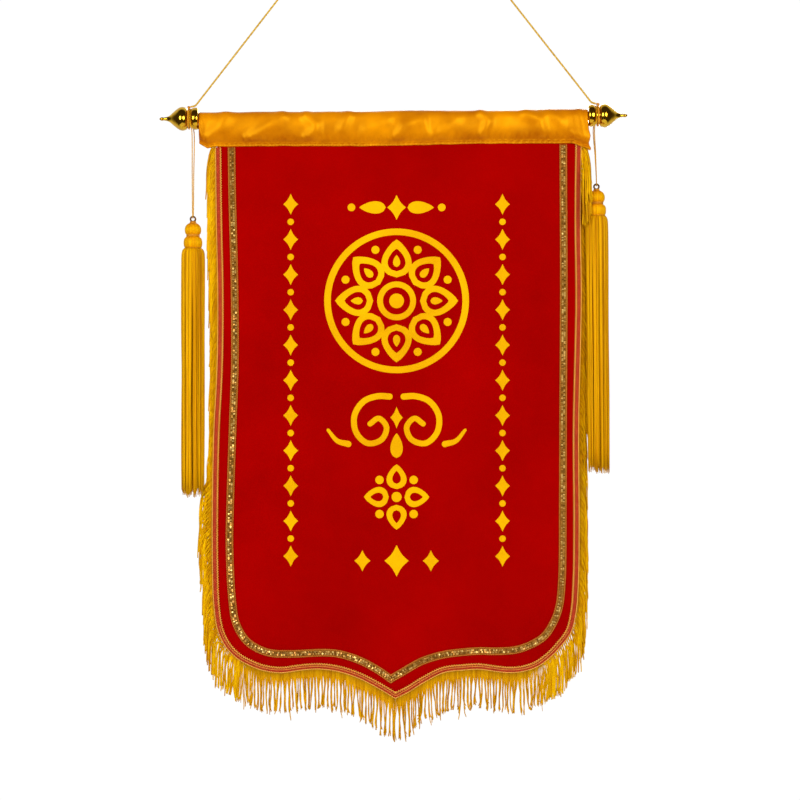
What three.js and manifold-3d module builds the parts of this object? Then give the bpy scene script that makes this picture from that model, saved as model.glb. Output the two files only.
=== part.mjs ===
// Honor banner: a velvet panel under a satin rod sleeve, with sewn braid, fringe and two tassels,
// on a turned rod that hangs from a wall peg by a cord. Millimetres, +Z up; the front faces -Y.
// The origin is on the wall, at the middle of the peg's back face.
import * as THREE from 'three';
import { mergeVertices } from 'three/addons/utils/BufferGeometryUtils.js';
import Module from 'manifold-3d';

const wasm = await Module();
wasm.setup();

// Where things hang
const hangPlaneY = -32;          // plane of the cord, the rod and the cloth, in front of the wall
const rodDrop = 330;             // rod's axis below the peg's axis, at the middle of the rod
const rodTilt = 0.0077;          // rise of the rod for each millimetre towards +X
const seatGap = 0.35;            // air between pieces that touch

// Rod and finials
const rodRadius = 6;
const rodHalfLength = 262;
const collarFaceX = 250;         // the collars' inner faces, either side of the middle
const boreDepth = 13;
const neckRadius = 11;
const neckStart = 9.3;           // along the finial from the collar's face
const neckEnd = 14.6;

// Cloth
const velvetThickness = 1.6;
const velvetTopDrop = 29.5;      // all drops are measured down from the rod's axis
const satinThickness = 1;
const sleeveStartX = -249.4;
const sleeveEndX = 249.4;
const tapeHalfWidth = 3.8;
const tapeThickness = 1.2;
const tapeTopDrop = 38.9;        // on the left; the sleeve's hem is higher on the right
const tapeTopDropRight = 35;
const velvetEdgeUnderTape = 1.4; // the velvet's edge lies this far outside the tape's middle line
const braidHalfWidth = 4.8;
const braidThickness = 1.2;

// Fringe
const fringeLength = 57;
const fringeRootInset = 1;       // how deep a strand's root goes into the tape
const rootRadius = 0.5;
const leftPitch = 10;            // steeper strands stand further apart along the edge
const rightPitch = 8.6;
const bottomPitch = 4.75;

// Cords
const hangerDiameter = 2.6;
const tasselCordDiameter = 1.4;
const hangerLoopX = 262.6;       // groove of the neck, outer part
const tasselLoopX = 260.2;       // groove of the neck, by the collar

// Peg
const pegRadius = 6;
const pegLength = 60;
const pegPlateRadius = 15;

function look(color, roughness, metalness) {
  return new THREE.MeshStandardMaterial({ color, roughness, metalness });
}
const velvet = look(0xb80000, 0.85, 0);
const satin = look(0xf59a00, 0.4, 0);
const yarn = look(0xf2a900, 0.6, 0);
const tinsel = look(0x8a5a10, 0.4, 0.4);
const plated = look(0xb98a1c, 0.18, 1);
const darkBrass = look(0x6a4312, 0.3, 1);
const wood = look(0xc79a62, 0.6, 0);
const paint = look(0xd8d4cc, 0.5, 0.2);

const banner = new THREE.Group();

function add(name, geometry, material) {
  const mesh = new THREE.Mesh(geometry, material);
  mesh.name = name;
  banner.add(mesh);
  return mesh;
}

// A steady scatter between -1 and 1 for the number given
function scatter(number) {
  const value = Math.sin(number * 12.9898 + 4.1) * 43758.5453;
  return 2 * (value - Math.floor(value)) - 1;
}

// Value read from a short table of rows [place, value], smoothly between rows
function fromTable(rows, place) {
  if (place <= rows[0][0]) return rows[0][1];
  for (let i = 1; i < rows.length; i++) {
    const [low, before] = rows[i - 1];
    const [high, after] = rows[i];
    if (place <= high) return before + (after - before) * THREE.MathUtils.smoothstep(place, low, high);
  }
  return rows[rows.length - 1][1];
}

const rodAxisZ = (x) => -rodDrop + rodTilt * x;

// The velvet's soft unevenness: how far its middle lies behind the hanging plane
function clothWave(x, drop) {
  const free = THREE.MathUtils.smoothstep(drop, 44, 190);
  const broadFold = 1.3 * Math.sin(x / 52 + drop / 260 + 0.7);
  const edgeCurl = 1.5 * (x / 230) ** 2 * Math.sin(drop / 58 + Math.sign(x));
  return free * (broadFold + edgeCurl);
}

function onCloth(x, drop, ahead) {
  return new THREE.Vector3(x, hangPlaneY + clothWave(x, drop) - ahead, -rodDrop - drop);
}

// Closed body between two grids of points, outer[i][j] and inner[i][j]
function sheetBody(outer, inner) {
  const rows = outer.length;
  const columns = outer[0].length;
  const positions = [];
  for (const grid of [outer, inner]) {
    for (const row of grid) {
      for (const point of row) positions.push(point.x, point.y, point.z);
    }
  }
  const at = (layer, i, j) => (layer * rows + i) * columns + j;
  const faces = [];
  const quad = (a, b, c, d) => faces.push(a, b, c, a, c, d);
  for (let i = 0; i < rows - 1; i++) {
    for (let j = 0; j < columns - 1; j++) {
      quad(at(0, i, j), at(0, i + 1, j), at(0, i + 1, j + 1), at(0, i, j + 1));
      quad(at(1, i, j + 1), at(1, i + 1, j + 1), at(1, i + 1, j), at(1, i, j));
    }
  }
  for (let i = 0; i < rows - 1; i++) {
    quad(at(0, i + 1, 0), at(0, i, 0), at(1, i, 0), at(1, i + 1, 0));
    quad(at(0, i, columns - 1), at(0, i + 1, columns - 1), at(1, i + 1, columns - 1), at(1, i, columns - 1));
  }
  for (let j = 0; j < columns - 1; j++) {
    quad(at(0, 0, j), at(0, 0, j + 1), at(1, 0, j + 1), at(1, 0, j));
    quad(at(0, rows - 1, j + 1), at(0, rows - 1, j), at(1, rows - 1, j), at(1, rows - 1, j + 1));
  }
  return facingOut(positions, faces);
}

// Geometry of a closed body, with its faces turned outwards
function facingOut(positions, faces) {
  const corner = (index) => new THREE.Vector3().fromArray(positions, 3 * index);
  let volume = 0;
  for (let f = 0; f < faces.length; f += 3) {
    volume += corner(faces[f]).dot(corner(faces[f + 1]).cross(corner(faces[f + 2])));
  }
  const geometry = new THREE.BufferGeometry();
  geometry.setAttribute('position', new THREE.Float32BufferAttribute(positions, 3));
  geometry.setIndex(volume < 0 ? faces.reverse() : faces);
  return geometry;
}

function toSolid(geometry) {
  const plain = geometry.clone();
  plain.deleteAttribute('normal');
  plain.deleteAttribute('uv');
  const merged = mergeVertices(plain, 1e-4);
  return new wasm.Manifold(new wasm.Mesh({
    numProp: 3,
    vertProperties: new Float32Array(merged.attributes.position.array),
    triVerts: new Uint32Array(merged.index.array),
  }));
}

function fromSolid(solid) {
  const { vertProperties, triVerts } = solid.getMesh();
  const geometry = new THREE.BufferGeometry();
  geometry.setAttribute('position', new THREE.BufferAttribute(vertProperties, 3));
  geometry.setIndex(new THREE.BufferAttribute(triVerts, 1));
  return geometry;
}

// Line of n + 1 points spread evenly along the points given
function spread(points, n) {
  const lengths = [0];
  for (let i = 1; i < points.length; i++) {
    lengths.push(lengths[i - 1] + points[i].distanceTo(points[i - 1]));
  }
  const total = lengths[lengths.length - 1];
  const line = [];
  let k = 1;
  for (let i = 0; i <= n; i++) {
    const wanted = total * i / n;
    while (k < points.length - 1 && lengths[k] < wanted) k++;
    const part = (wanted - lengths[k - 1]) / (lengths[k] - lengths[k - 1]);
    line.push(points[k - 1].clone().lerp(points[k], part));
  }
  return line;
}

// Smooth line through rows of [x, drop], as points in (x, drop)
function smoothLine(rows, n) {
  const points = rows.map(([x, drop]) => new THREE.Vector3(x, drop, 0));
  const curve = new THREE.CatmullRomCurve3(points, false, 'centripetal');
  return curve.getSpacedPoints(n).map((point) => new THREE.Vector2(point.x, point.y));
}

// Outward direction at each point of a line that runs down the left side, along the bottom and up
// the right side, lengthened at a corner so that an offset keeps its width
function outwards(line) {
  return line.map((point, i) => {
    const before = point.clone().sub(line[Math.max(i - 1, 0)]).normalize();
    const after = line[Math.min(i + 1, line.length - 1)].clone().sub(point).normalize();
    const along = before.clone().add(after).normalize();
    const half = i > 0 && i < line.length - 1 ? along.dot(before) : 1;
    return new THREE.Vector2(-along.y, along.x).multiplyScalar(1 / half);
  });
}

function offsetLine(line, distance) {
  const directions = outwards(line);
  return line.map((point, i) => point.clone().addScaledVector(directions[i], distance));
}

// Middle line of the fringe's tape: the hem's outline, with its shallow lobes and its point
const leftHemRows = [
  // x, drop
  [-225, tapeTopDrop], [-224, 136], [-222, 235], [-223, 326], [-227, 403], [-229, 492],
  [-229, 569], [-227, 626], [-222, 658], [-213, 677], [-200, 691], [-185, 700], [-167, 707],
  [-145, 710], [-116, 706.5], [-94, 705.5], [-69, 709], [-42, 718], [-16, 731.5], [2.5, 742.5],
];
const rightHemRows = [
  // x, drop
  [2.5, 742.5], [17, 735.5], [37, 723], [63, 710], [89, 706.5], [111, 705.5], [133, 708.5],
  [150, 710], [166, 708.5], [183, 703], [199, 691.5], [212, 678], [225, 660], [231, 636],
  [234, 595], [235, 518], [234.5, 402], [237.5, 235], [236.5, 136], [237.5, tapeTopDropRight],
];
const hemSteps = 48;             // for each half of the hem line
const leftHem = smoothLine(leftHemRows, hemSteps);
const rightHem = smoothLine(rightHemRows, hemSteps);
const hemLine = [...leftHem, ...rightHem.slice(1)];

// Middle line of the sequin braid
const leftBraidRows = [
  // x, drop
  [-208, 39], [-207, 106], [-204, 222], [-203.5, 318], [-206, 389], [-209.5, 492], [-210.5, 550],
  [-207, 620], [-202, 650], [-190, 671], [-177, 681], [-159, 688], [-133, 689.5], [-88, 688],
  [-68, 690], [-42, 698.5], [-22, 709], [-3.5, 721.5],
];
const rightBraidRows = [
  // x, drop
  [-3.5, 721.5], [11, 713], [37, 698.5], [63, 690.5], [89, 687], [111, 685.5], [130, 686],
  [158, 684], [179, 676.5], [194, 666.5], [204, 652], [212, 632], [216, 600], [217.5, 492],
  [218, 363], [218.5, 220], [218, 35.2],
];
const braidSteps = 38;           // for each half
const braidLine = [
  ...smoothLine(leftBraidRows, braidSteps),
  ...smoothLine(rightBraidRows, braidSteps).slice(1),
];

// Flat strip sewn on the velvet's face along a line
function sewnStrip(line, halfWidth, thickness) {
  const sides = [offsetLine(line, -halfWidth), offsetLine(line, halfWidth)];
  const back = velvetThickness / 2 + seatGap;
  const layer = (ahead) => line.map((_, i) => sides.map((side) => onCloth(side[i].x, side[i].y, ahead)));
  return sheetBody(layer(back + thickness), layer(back));
}

// Velvet panel: a patch between its top, its two sides and its shield-shaped bottom
function velvetPanel() {
  const across = 24;
  const down = 16;
  const outline = offsetLine(hemLine, velvetEdgeUnderTape);
  const cornerStep = 39;         // where a side turns into the bottom
  const tip = hemSteps;
  const last = outline.length - 1;
  const topLeft = new THREE.Vector2(outline[0].x, velvetTopDrop);
  const topRight = new THREE.Vector2(outline[last].x, velvetTopDrop);
  const left = spread([topLeft, ...outline.slice(1, cornerStep + 1)], down);
  const right = spread([topRight, ...outline.slice(last - cornerStep, last).reverse()], down);
  const bottom = [
    ...spread(outline.slice(cornerStep, tip + 1), across / 2),
    ...spread(outline.slice(tip, last - cornerStep + 1), across / 2).slice(1),
  ];
  const patch = (ahead) => left.map((_, j) => bottom.map((__, i) => {
    const u = i / across;
    const v = j / down;
    const top = topLeft.clone().lerp(topRight, u);
    const side = left[j].clone().lerp(right[j], u);
    const rise = top.clone().lerp(bottom[i], v);
    const corners = top.clone().lerp(bottom[0].clone().lerp(bottom[across], u), v);
    const place = side.add(rise).sub(corners);
    return onCloth(place.x, place.y, ahead);
  }));
  return sheetBody(patch(velvetThickness / 2), patch(-velvetThickness / 2));
}

// Satin sleeve: a strip folded over the rod, bellied in front, its lips either side of the velvet
function rodSleeve() {
  const stations = 22;
  const hemRows = [
    // x, drop of the lower edge
    [-249.4, 34], [-239, 39.8], [-230, 38.1], [-150, 37.3], [-40, 37.4], [10, 36.6], [60, 35.4],
    [110, 34.2], [200, 33.9], [249.4, 33.2],
  ];
  const stitchHeight = 5;
  const lip = velvetThickness / 2 + seatGap + satinThickness / 2;
  const overRod = rodRadius + 2 * seatGap + satinThickness / 2;
  const outer = [];
  const inner = [];
  for (let s = 0; s <= stations; s++) {
    const x = sleeveStartX + (sleeveEndX - sleeveStartX) * s / stations;
    const hem = fromTable(hemRows, x);
    const ripple = scatter(s) * 0.8;
    const belly = 1.6 + 1.1 * Math.sin(x / 21) + ripple;
    const lift = 0.35 + 0.3 * Math.sin(x / 33 + 1);
    const fall = [
      // half depth, share of the belly, drop
      [lip, 0, hem], [lip, 0, hem - stitchHeight], [lip + 1.4, 1, hem - 12], [5.4, 1, 13], [overRod, 0.3, 2],
    ];
    const front = fall.map(([half, share, drop]) => new THREE.Vector2(-half - share * belly, -drop));
    const arc = [30, 60, 90, 120, 150].map((degrees) => {
      const angle = THREE.MathUtils.degToRad(degrees);
      return new THREE.Vector2(-overRod * Math.cos(angle), (overRod + lift) * Math.sin(angle));
    });
    const back = fall.map(([half, , drop]) => new THREE.Vector2(half, -drop)).reverse();
    const section = [...front, ...arc, ...back];
    const atEnd = s === stations ? 1 : 0;
    const ring = (side) => section.map((point, k) => {
      const before = section[Math.max(k - 1, 0)];
      const after = section[Math.min(k + 1, section.length - 1)];
      const along = after.clone().sub(before).normalize();
      const outwardsHere = new THREE.Vector2(-along.y, along.x);
      const place = point.clone().addScaledVector(outwardsHere, side * satinThickness / 2);
      const bulge = atEnd * 3 * THREE.MathUtils.smoothstep(-place.y, 15, 25);
      const tilt = rodTilt * x * THREE.MathUtils.smoothstep(place.y, -30, -8);
      return new THREE.Vector3(x + bulge, hangPlaneY + place.x, place.y - rodDrop + tilt);
    });
    outer.push(ring(1));
    inner.push(ring(-1));
  }
  return sheetBody(outer, inner);
}

// Strand of yarn: a three-sided prism through its points, level at each point and thin at its root
function strandSolid(points, radius, turn) {
  const positions = [];
  points.forEach((point, i) => {
    const size = i === 0 ? rootRadius : radius;
    for (let k = 0; k < 3; k++) {
      const angle = turn + k * Math.PI * 2 / 3;
      positions.push(point.x + size * Math.cos(angle), point.y + size * Math.sin(angle), point.z);
    }
  });
  const last = 3 * (points.length - 1);
  const faces = [0, 2, 1, last, last + 1, last + 2];
  for (let i = 0; i < points.length - 1; i++) {
    for (let k = 0; k < 3; k++) {
      const a = 3 * i + k;
      const b = 3 * i + (k + 1) % 3;
      faces.push(a, b, b + 3, a, b + 3, a + 3);
    }
  }
  return toSolid(facingOut(positions, faces));
}

// Fringe: tape and strands. At the sides the strands lean outwards, and on the right they pass in
// front of the tassel's head and then behind its skirt; along the bottom they hang straight.
function fringe() {
  const leftDrift = [[40, 13], [300, 12.5], [380, 9.5], [440, 9.5], [475, 20], [520, 20], [590, 15]];
  const leftBack = [[40, 5], [250, 8], [380, 10], [440, 10], [475, 7], [590, 6]];
  const rightDrift = [[40, 13], [700, 13]];
  const rightBack = [[40, -16], [90, -16], [90.1, 17], [430, 16], [500, 9], [700, 6]];
  const sideRadius = 1.05;
  const bottomRadius = 1.5;
  const strands = [];
  const directions = outwards(hemLine);
  const tapeMiddle = velvetThickness / 2 + seatGap + tapeThickness / 2;
  let run = 0;
  let next = 4;
  let count = 0;
  for (let i = 1; i < hemLine.length; i++) {
    const step = hemLine[i].distanceTo(hemLine[i - 1]);
    while (next <= run + step) {
      const part = (next - run) / step;
      const middle = hemLine[i - 1].clone().lerp(hemLine[i], part);
      const out = directions[i - 1].clone().lerp(directions[i], part).normalize();
      const sideways = THREE.MathUtils.smoothstep(Math.abs(middle.x), 150, 224) * Math.abs(out.x);
      const hand = Math.sign(middle.x);
      const drift = hand * sideways * fromTable(hand < 0 ? leftDrift : rightDrift, middle.y);
      const back = sideways * fromTable(hand < 0 ? leftBack : rightBack, middle.y);
      const root = middle.clone().addScaledVector(out, tapeHalfWidth - fringeRootInset);
      const atPoint = 3 * THREE.MathUtils.smoothstep(25 - Math.abs(middle.x), 0, 20);
      const length = fringeLength + atPoint + 3 * scatter(count) * (1 - 0.5 * sideways);
      const sway = 0.7 * (1 - sideways) * scatter(count + 500);
      const top = onCloth(root.x, root.y, tapeMiddle);
      const end = top.clone().add(new THREE.Vector3(drift + sway, back + sway, -length));
      const radius = THREE.MathUtils.lerp(bottomRadius, sideRadius, sideways);
      strands.push(strandSolid([top, end], radius, Math.PI / 2));
      count += 1;
      next += THREE.MathUtils.lerp(bottomPitch, hand < 0 ? leftPitch : rightPitch, sideways ** 2);
    }
    run += step;
  }
  const tape = toSolid(sewnStrip(hemLine, tapeHalfWidth, tapeThickness));
  return fromSolid(wasm.Manifold.union([tape, ...strands]));
}

// Turned piece about +Y from rows of [along, radius]
function turned(rows, sides) {
  return new THREE.LatheGeometry(rows.map(([along, radius]) => new THREE.Vector2(radius, along)), sides);
}

const upY = new THREE.Vector3(0, 1, 0);

function finial(name, hand) {
  const rows = [
    // along, radius
    [boreDepth, 0], [boreDepth, rodRadius + seatGap], [0, rodRadius + seatGap], [0, 12.4], [0.7, 13.3],
    [2.6, 13.9], [5, 14.1], [7.3, 13.7], [8.8, 12.8], [neckStart, neckRadius], [neckEnd, neckRadius],
    [15.2, 12.9], [17, 14.2], [19.4, 15], [21.8, 15.2], [24.4, 14.5], [27.2, 12.9], [30.2, 10.6],
    [33, 8.2], [35.6, 5.8], [38, 3.9], [40.5, 2.8], [44, 2.1], [45.2, 1.9], [47.2, 2.3], [49.2, 1.7],
    [50.8, 0],
  ];
  const mesh = add(name, turned(rows, 18), plated);
  const direction = new THREE.Vector3(hand, 0, hand * rodTilt).normalize();
  mesh.quaternion.setFromUnitVectors(upY, direction);
  mesh.position.set(hand * collarFaceX, hangPlaneY, rodAxisZ(hand * collarFaceX));
}

function rod() {
  const half = rodHalfLength;
  const rows = [[-half, 0], [-half, rodRadius], [half, rodRadius], [half, 0]];
  const mesh = add('rod', turned(rows, 16), wood);
  mesh.quaternion.setFromUnitVectors(upY, new THREE.Vector3(1, 0, rodTilt).normalize());
  mesh.position.set(0, hangPlaneY, -rodDrop);
}

function wallPeg() {
  const rows = [
    // along from the wall, radius
    [0, 0], [0, pegPlateRadius], [3, pegPlateRadius], [4.2, 13.4], [5.2, 8], [7, pegRadius], [50, pegRadius],
    [52, 8], [54.6, 9], [57.4, 8], [59.4, 4.6], [pegLength, 0],
  ];
  const mesh = add('wall_peg', turned(rows, 16), paint);
  mesh.rotation.x = Math.PI;
}

// Round cord through the points of its route, with its steps close where the points are close
function cordTube(points, diameter, stepsBetween) {
  const places = points.map((point) => new THREE.Vector3(...point));
  const route = new THREE.CatmullRomCurve3(places, false, 'centripetal');
  route.getUtoTmapping = (share) => share;
  const section = new THREE.Shape();
  const sides = 8;
  for (let k = 0; k <= sides; k++) {
    const angle = (k % sides) * Math.PI * 2 / sides;
    const draw = k === 0 ? 'moveTo' : 'lineTo';
    section[draw](diameter / 2 * Math.cos(angle), diameter / 2 * Math.sin(angle));
  }
  return new THREE.ExtrudeGeometry(section, {
    steps: stepsBetween * (points.length - 1), extrudePath: route, bevelEnabled: false,
  });
}

// Hanging cord: from the knot on the left neck, over the peg, to the knot on the right neck
const hangerRoute = [
  // x, y, z
  [-260.1, -32, -316.6], [-258.2, -32, -316.3], [-256.1, -32, -315.8], [-254.1, -32, -314.6],
  [-252.5, -32, -313], [-249, -32, -308.5], [-225, -32, -277.6], [-190, -32, -232.4],
  [-155, -32, -187.3], [-120, -32, -142.1], [-85, -32, -96.9], [-50, -32, -51.8],
  [-25, -32, -19.5], [-11.5, -32, -2.1], [-6.2, -32, 4.8], [-3.4, -32, 7.1], [0, -32, 7.9],
  [3.4, -32, 7.1], [6.2, -32, 4.8], [11.5, -32, -1.9], [25, -32, -19.1], [50, -32, -50.9],
  [85, -32, -95.5], [120, -32, -140], [155, -32, -184.5], [190, -32, -229.1],
  [225, -32, -273.6], [249, -32, -304.2], [252.5, -32, -308.8], [254.1, -32, -310.4],
  [256.1, -32, -311.6], [258.2, -32, -312.1], [260.1, -32, -312.4],
];

function hangingCord() {
  add('hanger_cord', cordTube(hangerRoute, hangerDiameter, 2), yarn);
}

// The cord's own loop round a neck, with its knot on top
function hangerLoop(name, hand) {
  const loopRadius = neckRadius + seatGap + hangerDiameter / 2;
  const loop = new THREE.TorusGeometry(loopRadius, hangerDiameter / 2 - 0.05, 6, 20);
  const knot = new THREE.SphereGeometry(2.3, 8, 6);
  knot.scale(1.05, 1, 0.78);
  knot.translate(0, loopRadius + 2.2, 0);
  const geometry = fromSolid(toSolid(loop).add(toSolid(knot)));
  const mesh = add(name, geometry.rotateY(Math.PI / 2).rotateX(Math.PI / 2), yarn);
  mesh.position.set(hand * hangerLoopX, hangPlaneY, rodAxisZ(hand * hangerLoopX));
}

// Tassel, its ring and its cord. The ring's middle is ringDrop below the rod's middle.
const ringRadius = 3.2;
const ringWire = 1.1;

function tasselCord(name, hand, ringX, ringDrop) {
  const neckZ = rodAxisZ(hand * tasselLoopX);
  const ringTopZ = -rodDrop - ringDrop + ringRadius;
  const turnRadius = ringWire + tasselCordDiameter / 2 + 0.3;
  const loopRadius = neckRadius + seatGap + tasselCordDiameter / 2;
  const hang = neckZ - ringTopZ;
  const strand = [
    // x, half depth, z: from inside the ring up to the neck's side
    [ringX, 0.4, ringTopZ - turnRadius * 0.98], [ringX, turnRadius * 0.72, ringTopZ - turnRadius * 0.7],
    [ringX, turnRadius, ringTopZ], [ringX, 2.8, ringTopZ + 5],
    [THREE.MathUtils.lerp(ringX, hand * 257.6, 0.4), 6.2, ringTopZ + hang * 0.4],
    [hand * 257.6, 11.2, neckZ - 17], [hand * 258.6, 12.3, neckZ - 11.5],
    [hand * 259.9, 12.6, neckZ - 6], [hand * tasselLoopX, loopRadius, neckZ],
  ];
  const front = strand.map(([x, half, z]) => [x, hangPlaneY - half, z]);
  const back = strand.map(([x, half, z]) => [x, hangPlaneY + half, z]).reverse();
  const over = [60, 30, 0, -30, -60].map((degrees) => {
    const angle = THREE.MathUtils.degToRad(degrees);
    const ahead = loopRadius * Math.sin(angle);
    return [hand * tasselLoopX, hangPlaneY - ahead, neckZ + loopRadius * Math.cos(angle)];
  });
  add(name, cordTube([...front, ...over, ...back], tasselCordDiameter, 2), yarn);
}

function tasselBody(skirtRadius, skirtTop, skirtLength, seed) {
  const headRows = [
    // height above the skirt's top, radius
    [-0.6, 0], [-0.6, 11], [1.2, 10.6], [3.4, 11.7], [8.5, 12.2], [13.4, 11.2], [16.4, 8.8], [18.2, 8.7],
    [20.4, 9.7], [25.5, 10], [30, 8.6], [33, 5.4], [34.4, 2.8], [skirtTop - ringRadius, 2.1],
    [skirtTop - ringRadius + 0.2, 0],
  ];
  const head = toSolid(turned(headRows, 18).rotateX(Math.PI / 2).translate(0, 0, -skirtTop));
  const ringRoom = toSolid(new THREE.TorusGeometry(ringRadius, ringWire + 0.3, 8, 16).rotateX(Math.PI / 2));
  const strands = [];
  const rings = [
    // strands, radius in the skirt, radius at the root
    [16, skirtRadius - 2, 9.4], [8, skirtRadius - 7.8, 4.6],
  ];
  for (const [number, bodyRadius, startRadius] of rings) {
    for (let k = 0; k < number; k++) {
      const angle = (k + 0.5) * Math.PI * 2 / number;
      const length = skirtLength + 11 * scatter(seed + strands.length);
      const fall = [
        // radius, drop below the skirt's top
        [startRadius, -0.4], [bodyRadius, 9], [bodyRadius - 0.3, length],
      ];
      const path = fall.map(([radius, drop]) => new THREE.Vector3(
        radius * Math.cos(angle), radius * Math.sin(angle), -skirtTop - drop));
      strands.push(strandSolid(path, 2, angle));
    }
  }
  return fromSolid(wasm.Manifold.union([head.subtract(ringRoom), ...strands]));
}

function tassel(side, hand, ringX, ringDrop, skirtRadius, skirtLength, lean) {
  const skirtTop = 38.7;         // below the ring's middle
  tasselCord('tassel_cord_' + side, hand, ringX, ringDrop);
  const place = [ringX, hangPlaneY, -rodDrop - ringDrop];
  const ring = add('tassel_ring_' + side, new THREE.TorusGeometry(ringRadius, ringWire, 6, 16), darkBrass);
  ring.rotation.x = Math.PI / 2;
  ring.position.set(...place);
  const body = add('tassel_' + side, tasselBody(skirtRadius, skirtTop, skirtLength, ringX), yarn);
  body.rotation.y = lean;
  body.position.set(...place);
}

wallPeg();
hangingCord();
for (const [side, hand] of [['left', -1], ['right', 1]]) {
  finial('finial_' + side, hand);
  hangerLoop('hanger_loop_' + side, hand);
}
rod();
add('rod_sleeve', rodSleeve(), satin);
add('panel', velvetPanel(), velvet);
add('sequin_braid', sewnStrip(braidLine, braidHalfWidth, braidThickness), tinsel);
add('fringe', fringe(), yarn);
tassel('left', -1, -257.6, 131, 14.6, 309, 0);
tassel('right', 1, 260.8, 89.4, 13.7, 322, -0.009);

export default banner;
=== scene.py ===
import math
import random

import bmesh
import bpy
import numpy as np
from mathutils import Matrix, Vector


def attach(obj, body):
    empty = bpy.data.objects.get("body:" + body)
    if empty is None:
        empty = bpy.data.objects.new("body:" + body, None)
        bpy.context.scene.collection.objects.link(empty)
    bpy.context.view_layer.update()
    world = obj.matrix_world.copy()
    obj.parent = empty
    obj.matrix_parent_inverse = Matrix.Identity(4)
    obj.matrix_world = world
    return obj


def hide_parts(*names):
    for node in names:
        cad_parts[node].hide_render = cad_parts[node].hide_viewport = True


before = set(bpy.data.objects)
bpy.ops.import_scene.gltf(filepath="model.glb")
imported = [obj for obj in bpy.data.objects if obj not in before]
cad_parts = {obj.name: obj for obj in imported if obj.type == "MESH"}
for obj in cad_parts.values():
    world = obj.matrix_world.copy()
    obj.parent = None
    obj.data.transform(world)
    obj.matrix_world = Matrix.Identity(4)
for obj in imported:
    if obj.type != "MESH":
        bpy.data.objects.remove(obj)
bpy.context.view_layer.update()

MM = 0.001                    # the pieces are made in millimetres and end in metres
scene = bpy.context.scene

# Camera. The banner was photographed square on, level with the middle of the picture. The
# picture's side takes in 1028 mm of the plane that the banner hangs in.
hang_plane = -32.0            # the cord, the rod and the cloth hang in this plane
picture_side = 1028.0
picture_middle = (8.4, -693.4)
lens_length = 85.0
film_width = 36.0

eye = bpy.data.cameras.new("camera")
eye.lens = lens_length
eye.sensor_width = film_width
eye.clip_start = 0.1
eye.clip_end = 60.0
camera = bpy.data.objects.new("camera", eye)
camera_distance = picture_side * lens_length / film_width
camera.location = Vector((picture_middle[0], hang_plane - camera_distance, picture_middle[1])) * MM
camera.rotation_euler = (math.pi / 2, 0, 0)
scene.collection.objects.link(camera)
scene.camera = camera
scene.view_settings.view_transform = "Standard"
scene.view_settings.look = "None"

# Studio. White paper all round, two soft lamps in front, left and right of the camera and level
# with the rod, and one behind. The room on the camera's side is dim, and the finials show that.
lamps = [
    # name, place in metres, side in metres, watts
    ("lamp_left", (-0.95, -1.6, -0.27), 0.95, 18.5),
    ("lamp_right", (0.74, -1.6, -0.29), 0.95, 18.5),
    ("lamp_behind", (0.6, 2.4, 0.5), 1.6, 60),
]
for lamp_name, lamp_place, lamp_side, watts in lamps:
    light = bpy.data.lights.new(lamp_name, "AREA")
    light.shape = "DISK"
    light.size = lamp_side
    light.energy = watts
    lamp = bpy.data.objects.new(lamp_name, light)
    lamp.location = lamp_place
    aim = Vector((0, hang_plane * MM, -0.62)) - Vector(lamp_place)
    lamp.rotation_euler = aim.to_track_quat("-Z", "Y").to_euler()
    lamp.visible_camera = False
    scene.collection.objects.link(lamp)

studio = bpy.data.worlds.new("studio")
studio.use_nodes = True
scene.world = studio
studio_nodes = studio.node_tree.nodes
studio_link = studio.node_tree.links.new
studio_nodes.clear()


def room(color, strength):
    """Even light from the whole room."""
    walls = studio_nodes.new("ShaderNodeBackground")
    walls.inputs["Color"].default_value = (*color, 1)
    walls.inputs["Strength"].default_value = strength
    return walls.outputs[0]


def met_by(rays, meets, others_meet):
    """One room for one kind of ray and another for the rest."""
    choice = studio_nodes.new("ShaderNodeMixShader")
    studio_link(rays, choice.inputs[0])
    studio_link(others_meet, choice.inputs[1])
    studio_link(meets, choice.inputs[2])
    return choice.outputs[0]


room_direction = studio_nodes.new("ShaderNodeSeparateXYZ")
studio_link(studio_nodes.new("ShaderNodeTexCoord").outputs["Generated"], room_direction.inputs[0])
room_depth = studio_nodes.new("ShaderNodeMath")
room_depth.operation = "MULTIPLY_ADD"
room_depth.inputs[1].default_value = 0.5
room_depth.inputs[2].default_value = 0.5
studio_link(room_direction.outputs["Y"], room_depth.inputs[0])
dim_to_light = studio_nodes.new("ShaderNodeValToRGB")
studio_link(room_depth.outputs[0], dim_to_light.inputs[0])
for stop, place, tone in zip(dim_to_light.color_ramp.elements, (0.48, 0.66),
                             ((0.05, 0.035, 0.03), (0.78, 0.77, 0.74))):
    stop.position = place
    stop.color = (*tone, 1)
mirrored_room = room((1, 1, 1), 1.0)
studio_link(dim_to_light.outputs["Color"], mirrored_room.node.inputs["Color"])
light_path = studio_nodes.new("ShaderNodeLightPath").outputs
lit_room = met_by(light_path["Is Glossy Ray"], mirrored_room, room((0.8, 0.8, 0.8), 0.28))
seen_room = met_by(light_path["Is Camera Ray"], room((1, 1, 1), 1.02), lit_room)
studio_link(seen_room, studio_nodes.new("ShaderNodeOutputWorld").inputs["Surface"])

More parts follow.
